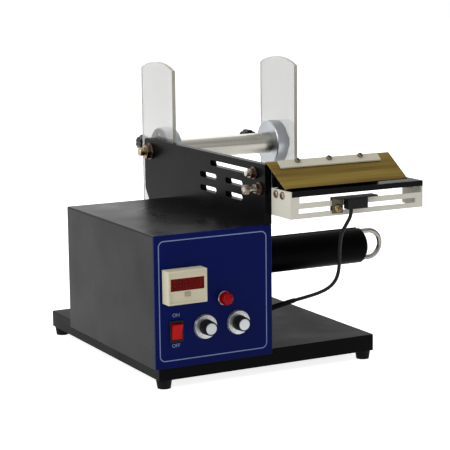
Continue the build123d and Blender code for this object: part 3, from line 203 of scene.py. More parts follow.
class FinishMaker:
    """Builds the node materials of the finishes, each one once."""

    CLOUD_DETAIL = 4.0
    GRAIN_DETAIL = 3.0
    GRAIN_SHARE = 0.45
    COLOUR_SPAN = (0.45, 1.0)
    ROUGHNESS_SPAN = (0.3, 0.7)
    LEAST_ROUGHNESS = 0.02
    EDGE_SAMPLES = 4
    EDGE_SPAN = (0.995, 0.85)
    RUBBED_SPAN = (0.35, 0.6)
    LEAST_RUBBED = 0.3
    BUMP_DISTANCE = 0.0004
    DRAWN_STRETCH = 0.03

    def __init__(self) -> None:
        """Starts with no materials made."""
        self.made: Dict[str, Material] = {}

    def material(self, finish: Finish) -> Material:
        """Gives the material of a finish.

        Args:
            finish: the finish wanted.

        Returns:
            Its node material, built on first use.
        """
        if finish.name not in self.made:
            self.made[finish.name] = self._build(finish)
        return self.made[finish.name]

    def _build(self, finish: Finish) -> Material:
        """Builds clouds of colour, fine grain, roughness, bump and soft edges for one finish.

        Args:
            finish: the finish.

        Returns:
            Its node material.
        """
        material = bpy.data.materials.new(finish.name)
        material.use_nodes = True
        tree = material.node_tree
        where = tree.nodes.new("ShaderNodeTexCoord").outputs["Object"]
        drawn_out = self._drawn_out(tree, where, finish)
        clouds = self._noise(tree, drawn_out, finish.cloud_scale, self.CLOUD_DETAIL)
        grain = self._grain(tree, where, finish)
        colour = self._colour(tree, finish, clouds, grain)
        low = max(self.LEAST_ROUGHNESS, finish.roughness - finish.roughness_spread)
        high = min(1.0, finish.roughness + finish.roughness_spread)
        values = {
            "Metallic": finish.metal,
            "Specular IOR Level": finish.specular,
            "Transmission Weight": finish.transmission,
            "IOR": finish.ior,
            "Roughness": spread(tree, clouds, *self.ROUGHNESS_SPAN, low, high),
        }
        if finish.edge > 0:
            rounded, turn = self._edges(tree, finish)
            colour = self._worn(tree, finish, colour, turn, clouds)
            values["Normal"] = self._bump(tree, finish, grain, rounded)
        # painted light: emission that stands in for lamp light reaching the display through the red
        # window
        if finish.painted_glow > 0:
            values["Emission Color"] = to_linear(finish.colour)
            values["Emission Strength"] = finish.painted_glow
        values["Base Color"] = colour
        shader = tree.nodes["Principled BSDF"]
        for name, value in values.items():
            feed(tree, shader.inputs[name], value)
        return material

    def _colour(self, tree: Tree, finish: Finish, clouds: Socket, grain: Socket) -> Socket:
        """Mixes the two colours of a finish by its clouds and grain.

        Args:
            tree: the material's tree.
            finish: the finish.
            clouds: the value of its clouds.
            grain: the value of its grain.

        Returns:
            The mixed colour.
        """
        inputs = {0: grain, 1: self.GRAIN_SHARE, 2: clouds}
        blend = add_node(tree, "ShaderNodeMath", inputs, "Value", operation="MULTIPLY_ADD")
        share = spread(tree, blend, *self.COLOUR_SPAN, 0.0, 1.0)
        return self._mix(tree, share, to_linear(finish.colour), to_linear(finish.second))

    @staticmethod
    def _mix(tree: Tree, share: Socket, first: Feed, second: Feed) -> Socket:
        """Adds a mix of two linear colours and gives its result."""
        inputs = {"Factor": share, "A": first, "B": second}
        return add_node(tree, "ShaderNodeMix", inputs, "Result", data_type="RGBA")

    def _edges(self, tree: Tree, finish: Finish) -> Tuple[Socket, Socket]:
        """Rounds the edges softly.

        Args:
            tree: the material's tree.
            finish: the finish, with the radius of its edges.

        Returns:
            The rounded normal, and how much each spot turns.
        """
        rounded = add_node(tree, "ShaderNodeBevel", {"Radius": finish.edge}, "Normal",
                           samples=self.EDGE_SAMPLES)
        flat = add_node(tree, "ShaderNodeNewGeometry", {}, "Normal")
        turn = add_node(tree, "ShaderNodeVectorMath", {0: rounded, 1: flat}, "Value",
                        operation="DOT_PRODUCT")
        return rounded, spread(tree, turn, *self.EDGE_SPAN, 0.0, 1.0)

    def _worn(self, tree: Tree, finish: Finish, colour: Socket, turn: Socket,
              clouds: Socket) -> Socket:
        """Lightens the edges where the finish is rubbed.

        Args:
            tree: the material's tree.
            finish: the finish.
            colour: its colour so far.
            turn: how much each spot turns.
            clouds: the value of its clouds.

        Returns:
            The colour with rubbed edges.
        """
        least = self.LEAST_RUBBED * finish.wear
        patch = spread(tree, clouds, *self.RUBBED_SPAN, least, finish.wear)
        rubbed = add_node(tree, "ShaderNodeMath", {0: turn, 1: patch}, "Value",
                          operation="MULTIPLY")
        return self._mix(tree, rubbed, colour, to_linear(finish.wear_colour))

    def _bump(self, tree: Tree, finish: Finish, grain: Socket, rounded: Socket) -> Socket:
        """Adds the grain's fine relief over the rounded edges.

        Args:
            tree: the material's tree.
            finish: the finish.
            grain: the value of its grain.
            rounded: the normal of the rounded edges.

        Returns:
            The normal with both.
        """
        inputs = {
            "Strength": finish.bump,
            "Distance": self.BUMP_DISTANCE,
            "Height": grain,
            "Normal": rounded,
        }
        return add_node(tree, "ShaderNodeBump", inputs, "Normal")

    @staticmethod
    def _noise(tree: Tree, where: Socket, scale: float, detail: float) -> Socket:
        """Adds a noise texture and gives its value."""
        inputs = {"Scale": scale, "Detail": detail, "Vector": where}
        return add_node(tree, "ShaderNodeTexNoise", inputs, "Fac")

    def _drawn_out(self, tree: Tree, where: Socket, finish: Finish) -> Socket:
        """Stretches the marks of a drawn or rolled finish along X.

        Args:
            tree: the material's tree.
            where: the place on the part.
            finish: the finish.

        Returns:
            The place to read the marks at.
        """
        along = self.DRAWN_STRETCH if finish.grain is Grain.ALONG_X else 1.0
        inputs = {"Vector": where, "Scale": (along, 1.0, 1.0)}
        return add_node(tree, "ShaderNodeMapping", inputs, "Vector")

    def _grain(self, tree: Tree, where: Socket, finish: Finish) -> Socket:
        """Adds the fine marks of a finish.

        Args:
            tree: the material's tree.
            where: the place on the part.
            finish: the finish.

        Returns:
            Their value.
        """
        if finish.grain in (Grain.RINGS_X, Grain.RINGS_Y):
            return self._rings(tree, where, finish)
        drawn_out = self._drawn_out(tree, where, finish)
        return self._noise(tree, drawn_out, finish.grain_scale, self.GRAIN_DETAIL)

    def _rings(self, tree: Tree, where: Socket, finish: Finish) -> Socket:
        """Adds lathe rings about a turned part's own axis.

        Args:
            tree: the material's tree.
            where: the place on the part.
            finish: the finish.

        Returns:
            Their value.
        """
        kind = "ShaderNodeVectorMath"
        across = (0.0, 1.0, 1.0) if finish.grain is Grain.RINGS_X else (1.0, 0.0, 1.0)
        middle = finish.turned_at
        centred = add_node(tree, kind, {0: where, 1: middle}, "Vector", operation="SUBTRACT")
        flat = add_node(tree, kind, {0: centred, 1: across}, "Vector", operation="MULTIPLY")
        reach = add_node(tree, kind, {0: flat}, "Value", operation="LENGTH")
        inputs = {"Scale": finish.grain_scale, "Detail": self.GRAIN_DETAIL, "W": reach}
        return add_node(tree, "ShaderNodeTexNoise", inputs, "Fac", noise_dimensions="1D")


class Finishes:
    """The finishes that several parts share or that parts wear beside their slot's own."""

    RUBBER = Finish("rubber_moulded", (0.06, 0.06, 0.06), (0.09, 0.09, 0.09), 0.7, bump=0.15,
                    grain_scale=1500.0, specular=0.1)
    ZINC = Finish("zinc_bright", (0.78, 0.77, 0.74), (0.66, 0.64, 0.6), 0.28, metal=1.0,
                  cloud_scale=220.0)
    BROWN_ZINC = Finish("zinc_red_brown", (0.44, 0.34, 0.31), (0.28, 0.21, 0.2), 0.32, metal=0.9,
                        cloud_scale=180.0, wear=0.5, wear_colour=(0.62, 0.54, 0.5))
    BRONZE_ZINC = Finish("zinc_bronze", (0.62, 0.55, 0.49), (0.46, 0.39, 0.34), 0.32, metal=1.0,
                         cloud_scale=200.0)
    BRASS = Finish("brass_turned", (0.63, 0.56, 0.41), (0.44, 0.38, 0.27), 0.28, metal=1.0,
                   cloud_scale=160.0)
    DARK_ZINC = Finish("zinc_dark", (0.5, 0.46, 0.4), (0.34, 0.31, 0.27), 0.34, metal=1.0,
                       cloud_scale=200.0)
    BLACK_ZINC = Finish("zinc_black", (0.1, 0.1, 0.1), (0.16, 0.16, 0.16), 0.35, metal=0.6,
                        cloud_scale=160.0)
    DIGIT = Finish("digit_unlit", (0.2, 0.02, 0.03), (0.16, 0.015, 0.02), 0.5, specular=0.1,
                   edge=0.0)
    KNOB_METAL = Finish("knob_brushed_aluminium", (0.78, 0.79, 0.8), (0.56, 0.57, 0.59), 0.36,
                        metal=1.0, grain=Grain.RINGS_Y, grain_scale=2600.0, bump=0.1)
    STEEL = Finish("ground_steel", (0.74, 0.74, 0.73), (0.64, 0.64, 0.63), 0.28, metal=1.0,
                   grain=Grain.ALONG_X)
    COLLAR = Finish("collar_turned_aluminium", (0.72, 0.735, 0.75), (0.58, 0.6, 0.62), 0.34,
                    metal=1.0, grain=Grain.RINGS_X, grain_scale=2200.0, bump=0.15)
    CLEAR_EDGE = Finish("strip_sawn_edge", (0.86, 0.855, 0.79), (0.78, 0.77, 0.7), 0.5,
                        transmission=0.4, edge=0.0)
    BAR = Finish("bar_satin_black", (0.05, 0.052, 0.053), (0.07, 0.072, 0.073), 0.3, bump=0.04,
                 specular=0.06, wear=0.3)
    TAB = Finish("holder_bare_tab", (0.42, 0.385, 0.32), (0.32, 0.29, 0.24), 0.38, metal=0.6)
    CABLE = Finish("cable_black_sheath", (0.06, 0.06, 0.065), (0.085, 0.085, 0.09), 0.5, bump=0.06,
                   specular=0.15)
    LINE = Finish("panel_pale_line", (0.55, 0.62, 0.79), (0.48, 0.56, 0.74), 0.5, edge=0.0,
                  specular=0.1)
    WORDS = Finish("panel_dim_words", (0.55, 0.6, 0.74), (0.49, 0.54, 0.68), 0.5, edge=0.0,
                   specular=0.1)
    DIAL = Finish("dial_dark_marks", (0.2, 0.2, 0.21), (0.28, 0.28, 0.29), 0.5, edge=0.0,
                  specular=0.1)
    AXLE = Finish("axle_dull_steel", (0.72, 0.68, 0.58), (0.56, 0.52, 0.43), 0.3, metal=1.0,
                  cloud_scale=160.0)


SLOT_FINISHES: Dict[str, Finish] = {
    "tray_paint": Finish("tray_powder_coat", (0.022, 0.023, 0.025), (0.032, 0.033, 0.035), 0.42,
                         bump=0.12, specular=0.04, edge=0.0006, wear=0.25),
    "cover_paint": Finish("cover_powder_coat", (0.03, 0.031, 0.034), (0.04, 0.041, 0.044), 0.3,
                          bump=0.08, specular=0.085, edge=0.0008, wear=0.15),
    "panel_film": Finish("panel_navy_film", (0.02, 0.07, 0.31), (0.035, 0.095, 0.37), 0.38,
                         bump=0.03, specular=0.05, cloud_scale=9.0),
    "plate_black": Finish("plate_black_anodised", (0.025, 0.027, 0.034), (0.038, 0.041, 0.05), 0.26,
                          bump=0.04, specular=0.04, edge=0.0005, wear=0.3),
    "black_rubber": Finishes.RUBBER,
    "zinc_steel": Finishes.ZINC,
    "yellow_zinc": Finishes.BRASS,
    "counter_cream": Finish("counter_cream_plastic", (0.92, 0.89, 0.78), (0.88, 0.85, 0.74), 0.5,
                            bump=0.1, specular=0.2),
    "window_red": Finish("counter_red_filter", (0.69, 0.035, 0.05), (0.65, 0.03, 0.045), 0.12,
                         transmission=0.95, ior=1.15, specular=0.1, edge=0.0),
    # the display board glows as painted light, in place of lamp light through the red window; its
    # digits stay unlit
    "display_board": Finish("display_painted_glow", (0.9, 0.2, 0.2), (0.8, 0.16, 0.16), 0.6, specular=0.1,
                            painted_glow=0.075),
    "key_plastic": Finish("reset_key_plastic", (0.74, 0.71, 0.61), (0.7, 0.67, 0.57), 0.5,
                          specular=0.2),
    "lamp_metal": Finish("lamp_bezel_plated", (0.56, 0.52, 0.52), (0.46, 0.42, 0.42), 0.25,
                         metal=1.0),
    "lamp_red": Finish("lamp_red_lens", (0.78, 0.04, 0.05), (0.64, 0.02, 0.03), 0.15,
                       transmission=0.25, ior=1.3, specular=0.12, edge=0.0),
    "switch_black": Finish("switch_black_plastic", (0.05, 0.05, 0.055), (0.08, 0.08, 0.085), 0.42,
                           specular=0.15),
    "switch_red": Finish("switch_red_plastic", (0.84, 0.07, 0.05), (0.76, 0.05, 0.04), 0.3,
                         bump=0.02, specular=0.12),
    "pot_metal": Finish("pot_pressed_can", (0.62, 0.62, 0.62), (0.55, 0.55, 0.55), 0.4, metal=1.0),
    "knob_metal": Finishes.KNOB_METAL,
    "knob_black": Finish("knob_black_grip", (0.06, 0.06, 0.063), (0.09, 0.09, 0.093), 0.5,
                         specular=0.15),
    "motor_metal": Finish("motor_case", (0.45, 0.45, 0.46), (0.4, 0.4, 0.41), 0.45, metal=1.0),
    "bearing_steel": Finishes.STEEL,
    "shaft_steel": Finishes.STEEL,
    "roller_black": Finish("roller_black_anodised", (0.015, 0.015, 0.016), (0.025, 0.025, 0.026),
                           0.36, bump=0.04, specular=0.02, grain=Grain.ALONG_X, grain_scale=1400.0),
    "clip_steel": Finish("clip_bright_wire", (0.62, 0.61, 0.58), (0.46, 0.45, 0.43), 0.22,
                         metal=1.0, grain=Grain.ALONG_X),
    "tube_silver": Finish("tube_drawn_aluminium", (0.78, 0.77, 0.73), (0.64, 0.63, 0.6), 0.24,
                          metal=1.0, grain=Grain.ALONG_X, grain_scale=1800.0),
    "bush_plastic": Finish("bush_plastic", (0.85, 0.85, 0.82), (0.8, 0.8, 0.77), 0.5),
    "collar_silver": Finishes.COLLAR,
    "strip_clear": Finish("strip_clear_acrylic", (0.86, 0.86, 0.855), (0.84, 0.84, 0.835), 0.08,
                          transmission=0.7, ior=1.49, edge=0.0, roughness_spread=0.02),
    "thumb_black": Finish("thumb_black_plastic", (0.06, 0.06, 0.065), (0.09, 0.09, 0.095), 0.42,
                          specular=0.2),
    "bracket_cream": Finish("bracket_cream_enamel", (0.95, 0.94, 0.885), (0.91, 0.9, 0.84), 0.4,
                            bump=0.05, specular=0.3, wear=0.35, wear_colour=(0.7, 0.68, 0.6)),
    "bar_black": Finishes.BAR,
    "sheet_gold": Finish("sheet_gold_anodised", (0.58, 0.5, 0.24), (0.36, 0.27, 0.12), 0.34,
                         metal=1.0, grain=Grain.ALONG_X, grain_scale=500.0, cloud_scale=90.0),
    "clamp_cream": Finish("clamp_cream_enamel", (0.88, 0.86, 0.78), (0.84, 0.82, 0.74), 0.42,
                          bump=0.05),
    "sensor_black": Finish("sensor_black_plastic", (0.05, 0.05, 0.052), (0.08, 0.08, 0.082), 0.4,
                           specular=0.15),
    "holder_black": Finish("holder_black_coat", (0.1, 0.1, 0.105), (0.15, 0.15, 0.155), 0.4,
                           specular=0.2),
    "cable_black": Finishes.CABLE,
    "supply_case": Finish("supply_case_aluminium", (0.6, 0.6, 0.6), (0.55, 0.55, 0.55), 0.45,
                          metal=1.0),
    "board_green": Finish("board_green_resist", (0.08, 0.3, 0.14), (0.1, 0.36, 0.17), 0.45),
    "inlet_black": Finish("inlet_black_plastic", (0.06, 0.06, 0.06), (0.09, 0.09, 0.09), 0.5,
                          specular=0.15),
}


def new_piece(name: str, mesh: Mesh, material: Material) -> Piece:
    """Makes a piece of the machine from a mesh.

    Args:
        name: the piece's name.
        mesh: its mesh, in metres in the machine's frame.
        material: its finish.

    Returns:
        The new object, which rides on nothing yet.
    """
    mesh.materials.append(material)
    piece = bpy.data.objects.new(name, mesh)
    bpy.context.scene.collection.objects.link(piece)
    LOG.info("piece %s wears %s", name, material.name)
    return piece


def bridge(work: Work, rings: Sequence[Sequence[bmesh.types.BMVert]]) -> None:
    """Joins each ring of points to the next one by a band of faces.

    Args:
        work: the mesh that takes the faces.
        rings: the rings in turn, with the same number of points in each.
    """
    for first, second in zip(rings, rings[1:]):
        count = len(first)
        for step in range(count):
            after = (step + 1) % count
            work.faces.new((first[step], first[after], second[after], second[step]))


def bridge_closed(work: Work, rings: Sequence[Sequence[bmesh.types.BMVert]]) -> None:
    """Joins rings of points and closes the first and the last one.

    Args:
        work: the mesh that takes the faces.
        rings: the rings in turn, with the same number of points in each.
    """
    bridge(work, rings)
    work.faces.new(list(reversed(rings[0])))
    work.faces.new(rings[-1])


def finished(work: Work, name: str) -> Mesh:
    """Turns finished work into a mesh and frees it.

    Args:
        work: the work, which can't be used afterwards.
        name: the mesh's name.

    Returns:
        The mesh.
    """
    mesh = bpy.data.meshes.new(name)
    work.to_mesh(mesh)
    work.free()
    return mesh


def drawn_mesh(name: str, curve: bpy.types.Curve) -> Mesh:
    """Turns a curve into a mesh and leaves no object behind.

    Args:
        name: the name of the object that the curve needs meanwhile.
        curve: the curve.

    Returns:
        The mesh.
    """
    drawn = bpy.data.objects.new(name, curve)
    bpy.context.scene.collection.objects.link(drawn)
    graph = bpy.context.evaluated_depsgraph_get()
    mesh = bpy.data.meshes.new_from_object(drawn.evaluated_get(graph))
    bpy.data.objects.remove(drawn)
    return mesh


def smooth_by_angle(mesh: Mesh, degrees: float) -> None:
    """Shades a mesh smooth and keeps its sharper edges.

    Args:
        mesh: the mesh.
        degrees: the turn from which an edge stays sharp.
    """
    for polygon in mesh.polygons:
        polygon.use_smooth = True
    work = bmesh.new()
    work.from_mesh(mesh)
    limit = math.radians(degrees)
    for edge in work.edges:
        edge.smooth = len(edge.link_faces) == 2 and edge.calc_face_angle(0.0) < limit
    work.to_mesh(mesh)
    work.free()


@dataclass
class SolidDresser:
    """Gives every solid of the frame the finish of its slot."""

    maker: FinishMaker
    nodes: Dict[str, Piece]
    slots: Dict[str, str]

    def dress(self) -> None:
        """Assigns each node's finish and logs it."""
        for name, node in self.nodes.items():
            finish = SLOT_FINISHES[self.slots[name]]
            node.data.materials.clear()
            node.data.materials.append(self.maker.material(finish))
            LOG.info("solid %s wears %s", name, finish.name)

    def whole(self, node: str, finish: Finish) -> None:
        """Gives a whole node another finish than its slot's."""
        self.nodes[node].data.materials[0] = self.maker.material(finish)

    def some_faces(self, node: str, finish: Finish, chosen: Callable[[Face], bool]) -> None:
        """Gives some faces of a node a second finish.

        Args:
            node: the node's name.
            finish: the second finish.
            chosen: says whether a face takes that finish.
        """
        mesh = self.nodes[node].data
        mesh.materials.append(self.maker.material(finish))
        for polygon in mesh.polygons:
            if chosen(polygon):
                polygon.material_index = len(mesh.materials) - 1


@dataclass
class TurnedParts:
    """Lathe rings about their own axes on the collars and knobs."""

    dresser: SolidDresser

    def build(self) -> None:
        """Gives each turned part rings about its own middle."""
        turned = (
            ("left_collar", Finishes.COLLAR),
            ("right_collar", Finishes.COLLAR),
            ("left_knob_core", Finishes.KNOB_METAL),
            ("right_knob_core", Finishes.KNOB_METAL),
        )
        for node, finish in turned:
            low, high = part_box(node)
            middle = tuple((low + high) / 2)
            name = finish.name + "_" + node
            self.dresser.whole(node, replace(finish, name=name, turned_at=middle))


@dataclass
class MixedParts:
    """Parts whose solids show two finishes: strips, thumbscrews, nuts and the sensor's holder."""

    dresser: SolidDresser
    joints: List[dict]
    thumb_knob: float = 0.0141
    nut_flange: float = 0.0021
    plate_margin: float = 0.001
    edge_normal: float = 0.5

    def strips(self) -> None:
        """Makes the clear strips' sawn edges dull."""
        for node in ("left_strip", "right_strip"):
            self.dresser.some_faces(node, Finishes.CLEAR_EDGE,
                                    lambda face: abs(face.normal.x) < self.edge_normal)

    def thumbscrews(self) -> None:
        """Shows the steel screw between each collar and its black knob."""
        for side in ("left", "right"):
            node = side + "_thumbscrew"
            joint = next(item for item in self.joints if item["name"] == node + "_turn")
            axis = Vector(joint["axis"])
            start = Vector(joint["pos_m"])
            mesh = self.dresser.nodes[node].data
            end = max((vertex.co - start).dot(axis) for vertex in mesh.vertices)
            inner = end - self.thumb_knob
            self.dresser.some_faces(node, Finishes.ZINC,
                                    lambda face: (face.center - start).dot(axis) < inner)

    def nuts(self) -> None:
        """Makes the axle dull, its right nut black, and its left flange and the washers brown."""
        plate_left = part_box("side_plate")[0].x
        flange_left = plate_left - self.nut_flange
        flange_right = plate_left + self.plate_margin
        self.dresser.some_faces("axle_nuts", Finishes.BLACK_ZINC, lambda face: face.center.x > 0)
        self.dresser.some_faces("axle_nuts", Finishes.BROWN_ZINC,
                                lambda face: flange_left < face.center.x < flange_right)
        self.dresser.whole("supply_axle", Finishes.AXLE)
        self.dresser.whole("head_nuts", Finishes.BRONZE_ZINC)
        self.dresser.whole("head_washers", Finishes.BROWN_ZINC)

    def holder(self) -> None:
        """Leaves the sensor holder's left tab bare."""
        sensor_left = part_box("sensor_body")[0].x
        self.dresser.some_faces("sensor_holder", Finishes.TAB,
                                lambda face: face.center.x < sensor_left)

    def build(self) -> None:
        """Dresses all parts that show two finishes."""
        self.strips()
        self.thumbscrews()
        self.nuts()
        self.holder()


def islands(mesh: Mesh) -> List[List[Vector]]:
    """Splits a mesh into its separate solids.

    Args:
        mesh: a node's mesh with several solids in it.

    Returns:
        The points of each solid.
    """
    work = bmesh.new()
    work.from_mesh(mesh)
    bmesh.ops.remove_doubles(work, verts=work.verts, dist=JOIN_DISTANCE)
    groups = []
    left = set(work.verts)
    while left:
        queue = [left.pop()]
        points = []
        while queue:
            vertex = queue.pop()
            points.append(vertex.co.copy())
            for edge in vertex.link_edges:
                other = edge.other_vert(vertex)
                if other in left:
                    left.remove(other)
                    queue.append(other)
        groups.append(points)
    work.free()
    return groups


@dataclass
class CrossHeadScrews:
    """Domed screws with a cross recess, in place of one node's plain ones."""

    maker: FinishMaker
    nodes: Dict[str, Piece]
    node: str
    body: str
    head_height: float
    shank_radius: float
    outward: Callable[[Vector], Vector]
    finish: Finish = Finishes.ZINC
    slot: str = "zinc_steel"
    sides: int = 48
    dome_steps: int = 6
    recess_rings: int = 6
    recess_reach: float = 0.56
    recess_half_width: float = 0.11
    recess_depth: float = 0.6
    tip: float = 0.0004
    rim_share: float = 0.25
    dome_share: float = 0.7
    crown_share: float = 0.05
    dome_angle: float = 54.0
    first_turn: float = 0.4
    next_turn: float = 1.1
    sharp_angle: float = 35.0

    def profile(self, bottom: float, top: float, radius: float) -> List[Tuple[float, float]]:
        """Outlines one side of a screw, from its tip up over the crown.

        Args:
            bottom: the height of its tip.
            top: the height of its crown.
            radius: the head's radius.

        Returns:
            Radius and height of each point.
        """
        seat = top - self.head_height
        shank = self.shank_radius
        points = [(shank - self.tip, bottom), (shank, bottom + self.tip), (shank, seat),
                  (radius, seat), (radius, seat + self.rim_share * self.head_height)]
        last = math.radians(self.dome_angle)
        for step in range(1, self.dome_steps + 1):
            angle = last * step / self.dome_steps
            rise = self.rim_share + self.dome_share * (math.sin(angle) / math.sin(last))
            points.append((radius * math.cos(angle), seat + self.head_height * rise))
        crown = points[-1]
        for step in range(1, self.recess_rings):
            share = 1.0 - step / self.recess_rings
            lift = self.crown_share * self.head_height * (1.0 - share * share)
            points.append((crown[0] * share, crown[1] + lift))
        return points

    def in_recess(self, reach: float, angle: float, radius: float) -> bool:
        """Says whether a spot of the crown lies in the cross.

        Args:
            reach: how far it is from the axis.
            angle: its direction from the axis, in radians.
            radius: the head's radius.

        Returns:
            True if it does.
        """
        across = reach * math.cos(angle)
        up = reach * math.sin(angle)
        half = self.recess_half_width * radius
        return reach < self.recess_reach * radius and (abs(across) <= half or abs(up) <= half)

    def screw(self, work: Work, points: Sequence[Vector], turn: float) -> None:
        """Adds one screw where a plain one stands.

        Args:
            work: the mesh that takes it.
            points: the plain screw's points.
            turn: how far its cross is turned, in radians.
        """
        middle = sum(points, Vector()) / len(points)
        axis = self.outward(middle).normalized()
        side = axis.orthogonal().normalized()
        other = axis.cross(side)
        along = [point.dot(axis) for point in points]
        sideways = [point.dot(side) for point in points]
        upward = [point.dot(other) for point in points]
        radius = (max(sideways) - min(sideways)) / 2
        centre = side * (max(sideways) + min(sideways)) / 2
        centre += other * (max(upward) + min(upward)) / 2
        rings = []
        outline = self.profile(min(along), max(along), radius)
        first_crown = len(outline) - self.recess_rings
        for index, (reach, height) in enumerate(outline):
            ring = []
            for step in range(self.sides):
                angle = 2 * math.pi * step / self.sides
                sunk = index >= first_crown and self.in_recess(reach, angle, radius)
                level = height - (self.recess_depth * self.head_height if sunk else 0.0)
                spot = side * math.cos(angle + turn) + other * math.sin(angle + turn)
                ring.append(work.verts.new(centre + spot * reach + axis * level))
            rings.append(ring)
        bridge_closed(work, rings)

    def build(self) -> Piece:
        """Builds all the node's screws.

        Returns:
            One piece that stands for the node.
        """
        work = bmesh.new()
        for index, points in enumerate(islands(self.nodes[self.node].data)):
            self.screw(work, points, self.first_turn + self.next_turn * index)
        bmesh.ops.recalc_face_normals(work, faces=work.faces)
        name = self.node + "_domed"
        mesh = finished(work, name)
        smooth_by_angle(mesh, self.sharp_angle)
        piece = new_piece(name, mesh, self.maker.material(self.finish))
        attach(piece, self.body)
        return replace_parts(piece, self.node)


@dataclass
class Fasteners:
    """All cross-head screws that show."""

    maker: FinishMaker
    nodes: Dict[str, Piece]
    upward: float = 0.1

    def clamp_normal(self) -> Vector:
        """Finds the way that the clamp strip's upper face looks.

        Returns:
            That direction, which its screws point along.
        """
        polygons = self.nodes["clamp_strip"].data.polygons
        faces = [face for face in polygons if face.normal.z > self.upward]
        return max(faces, key=lambda face: face.area).normal.copy()

    def build(self) -> None:
        """Builds the screws of each node that shows them."""
        cover_low, cover_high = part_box("housing_cover")
        cover_middle = (cover_low.z + cover_high.z) / 2
        bracket_low, bracket_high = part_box("peel_bracket")
        bracket_middle = (bracket_low.x + bracket_high.x) / 2
        left = Vector((-1.0, 0.0, 0.0))
        right = Vector((1.0, 0.0, 0.0))
        front = Vector((0.0, -1.0, 0.0))
        up = Vector((0.0, 0.0, 1.0))
        slope = self.clamp_normal()
        # node, body, head height, shank radius, finish and the way its screws look
        sets = (
            ("bracket_screws", MACHINE, 0.0024, 0.0020, Finishes.BRONZE_ZINC,
             lambda spot: left if spot.x < bracket_middle else -up),
            ("clamp_screws", MACHINE, 0.0028, 0.0015, Finishes.DARK_ZINC, lambda spot: slope),
            ("cover_screws", MACHINE, 0.0022, 0.0020, Finishes.ZINC,
             lambda spot: right if spot.z > cover_middle else up),
            ("gearbox_screws", MACHINE, 0.0018, 0.0015, Finishes.ZINC, lambda spot: right),
            ("plate_screws", MACHINE, 0.0030, 0.0025, Finishes.ZINC, lambda spot: -up),
            ("left_strip_screws", "left_guide", 0.0018, 0.0020, Finishes.ZINC, lambda spot: left),
            ("right_strip_screws", "right_guide", 0.0018, 0.0020, Finishes.ZINC,
             lambda spot: right),
            ("sensor_screw", SENSOR, 0.0026, 0.0020, Finishes.BRASS, lambda spot: front),
        )
        for node, body, height, shank, finish, outward in sets:
            CrossHeadScrews(self.maker, self.nodes, node, body, height, shank, outward,
                            finish).build()


@dataclass
class GapShadePlate:
    """A black plate that fills the gap between the peel bar's upright and the side plate: painted
    shade, standing in for the shade in that gap.
    """

    maker: FinishMaker
    bracket: Piece
    front: float = 0.0028
    back: float = 0.0004
    top_drop: float = 0.0026
    past_bar_end: float = 0.0085
    clear: float = 0.0003

    def build(self) -> Piece:
        """Builds the painted-shade plate as one closed black plate over the bracket's ear.

        Returns:
            The painted-shade plate.
        """
        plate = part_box("side_plate")[1]
        panel_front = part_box("front_panel")[0].y
        corners = [vertex.co for vertex in self.bracket.data.vertices]
        low_z = max(corner.z for corner in corners if corner.y < panel_front) + self.clear
        high_z = plate.z - self.top_drop
        front = panel_front - self.front
        back = panel_front - self.back
        section = ((front, low_z), (back, low_z), (back, high_z), (front, high_z))
        ends = (plate.x + self.clear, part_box("peel_bar")[0].x + self.past_bar_end)
        work = bmesh.new()
        bridge_closed(work, [[work.verts.new((x, y, z)) for y, z in section] for x in ends])
        bmesh.ops.recalc_face_normals(work, faces=work.faces)
        mesh = finished(work, "gap_shade_plate")
        # painted shade: a satin black plate where the gap only shows shade
        piece = new_piece("gap_shade_plate", mesh, self.maker.material(Finishes.BAR))
        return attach(piece, MACHINE)


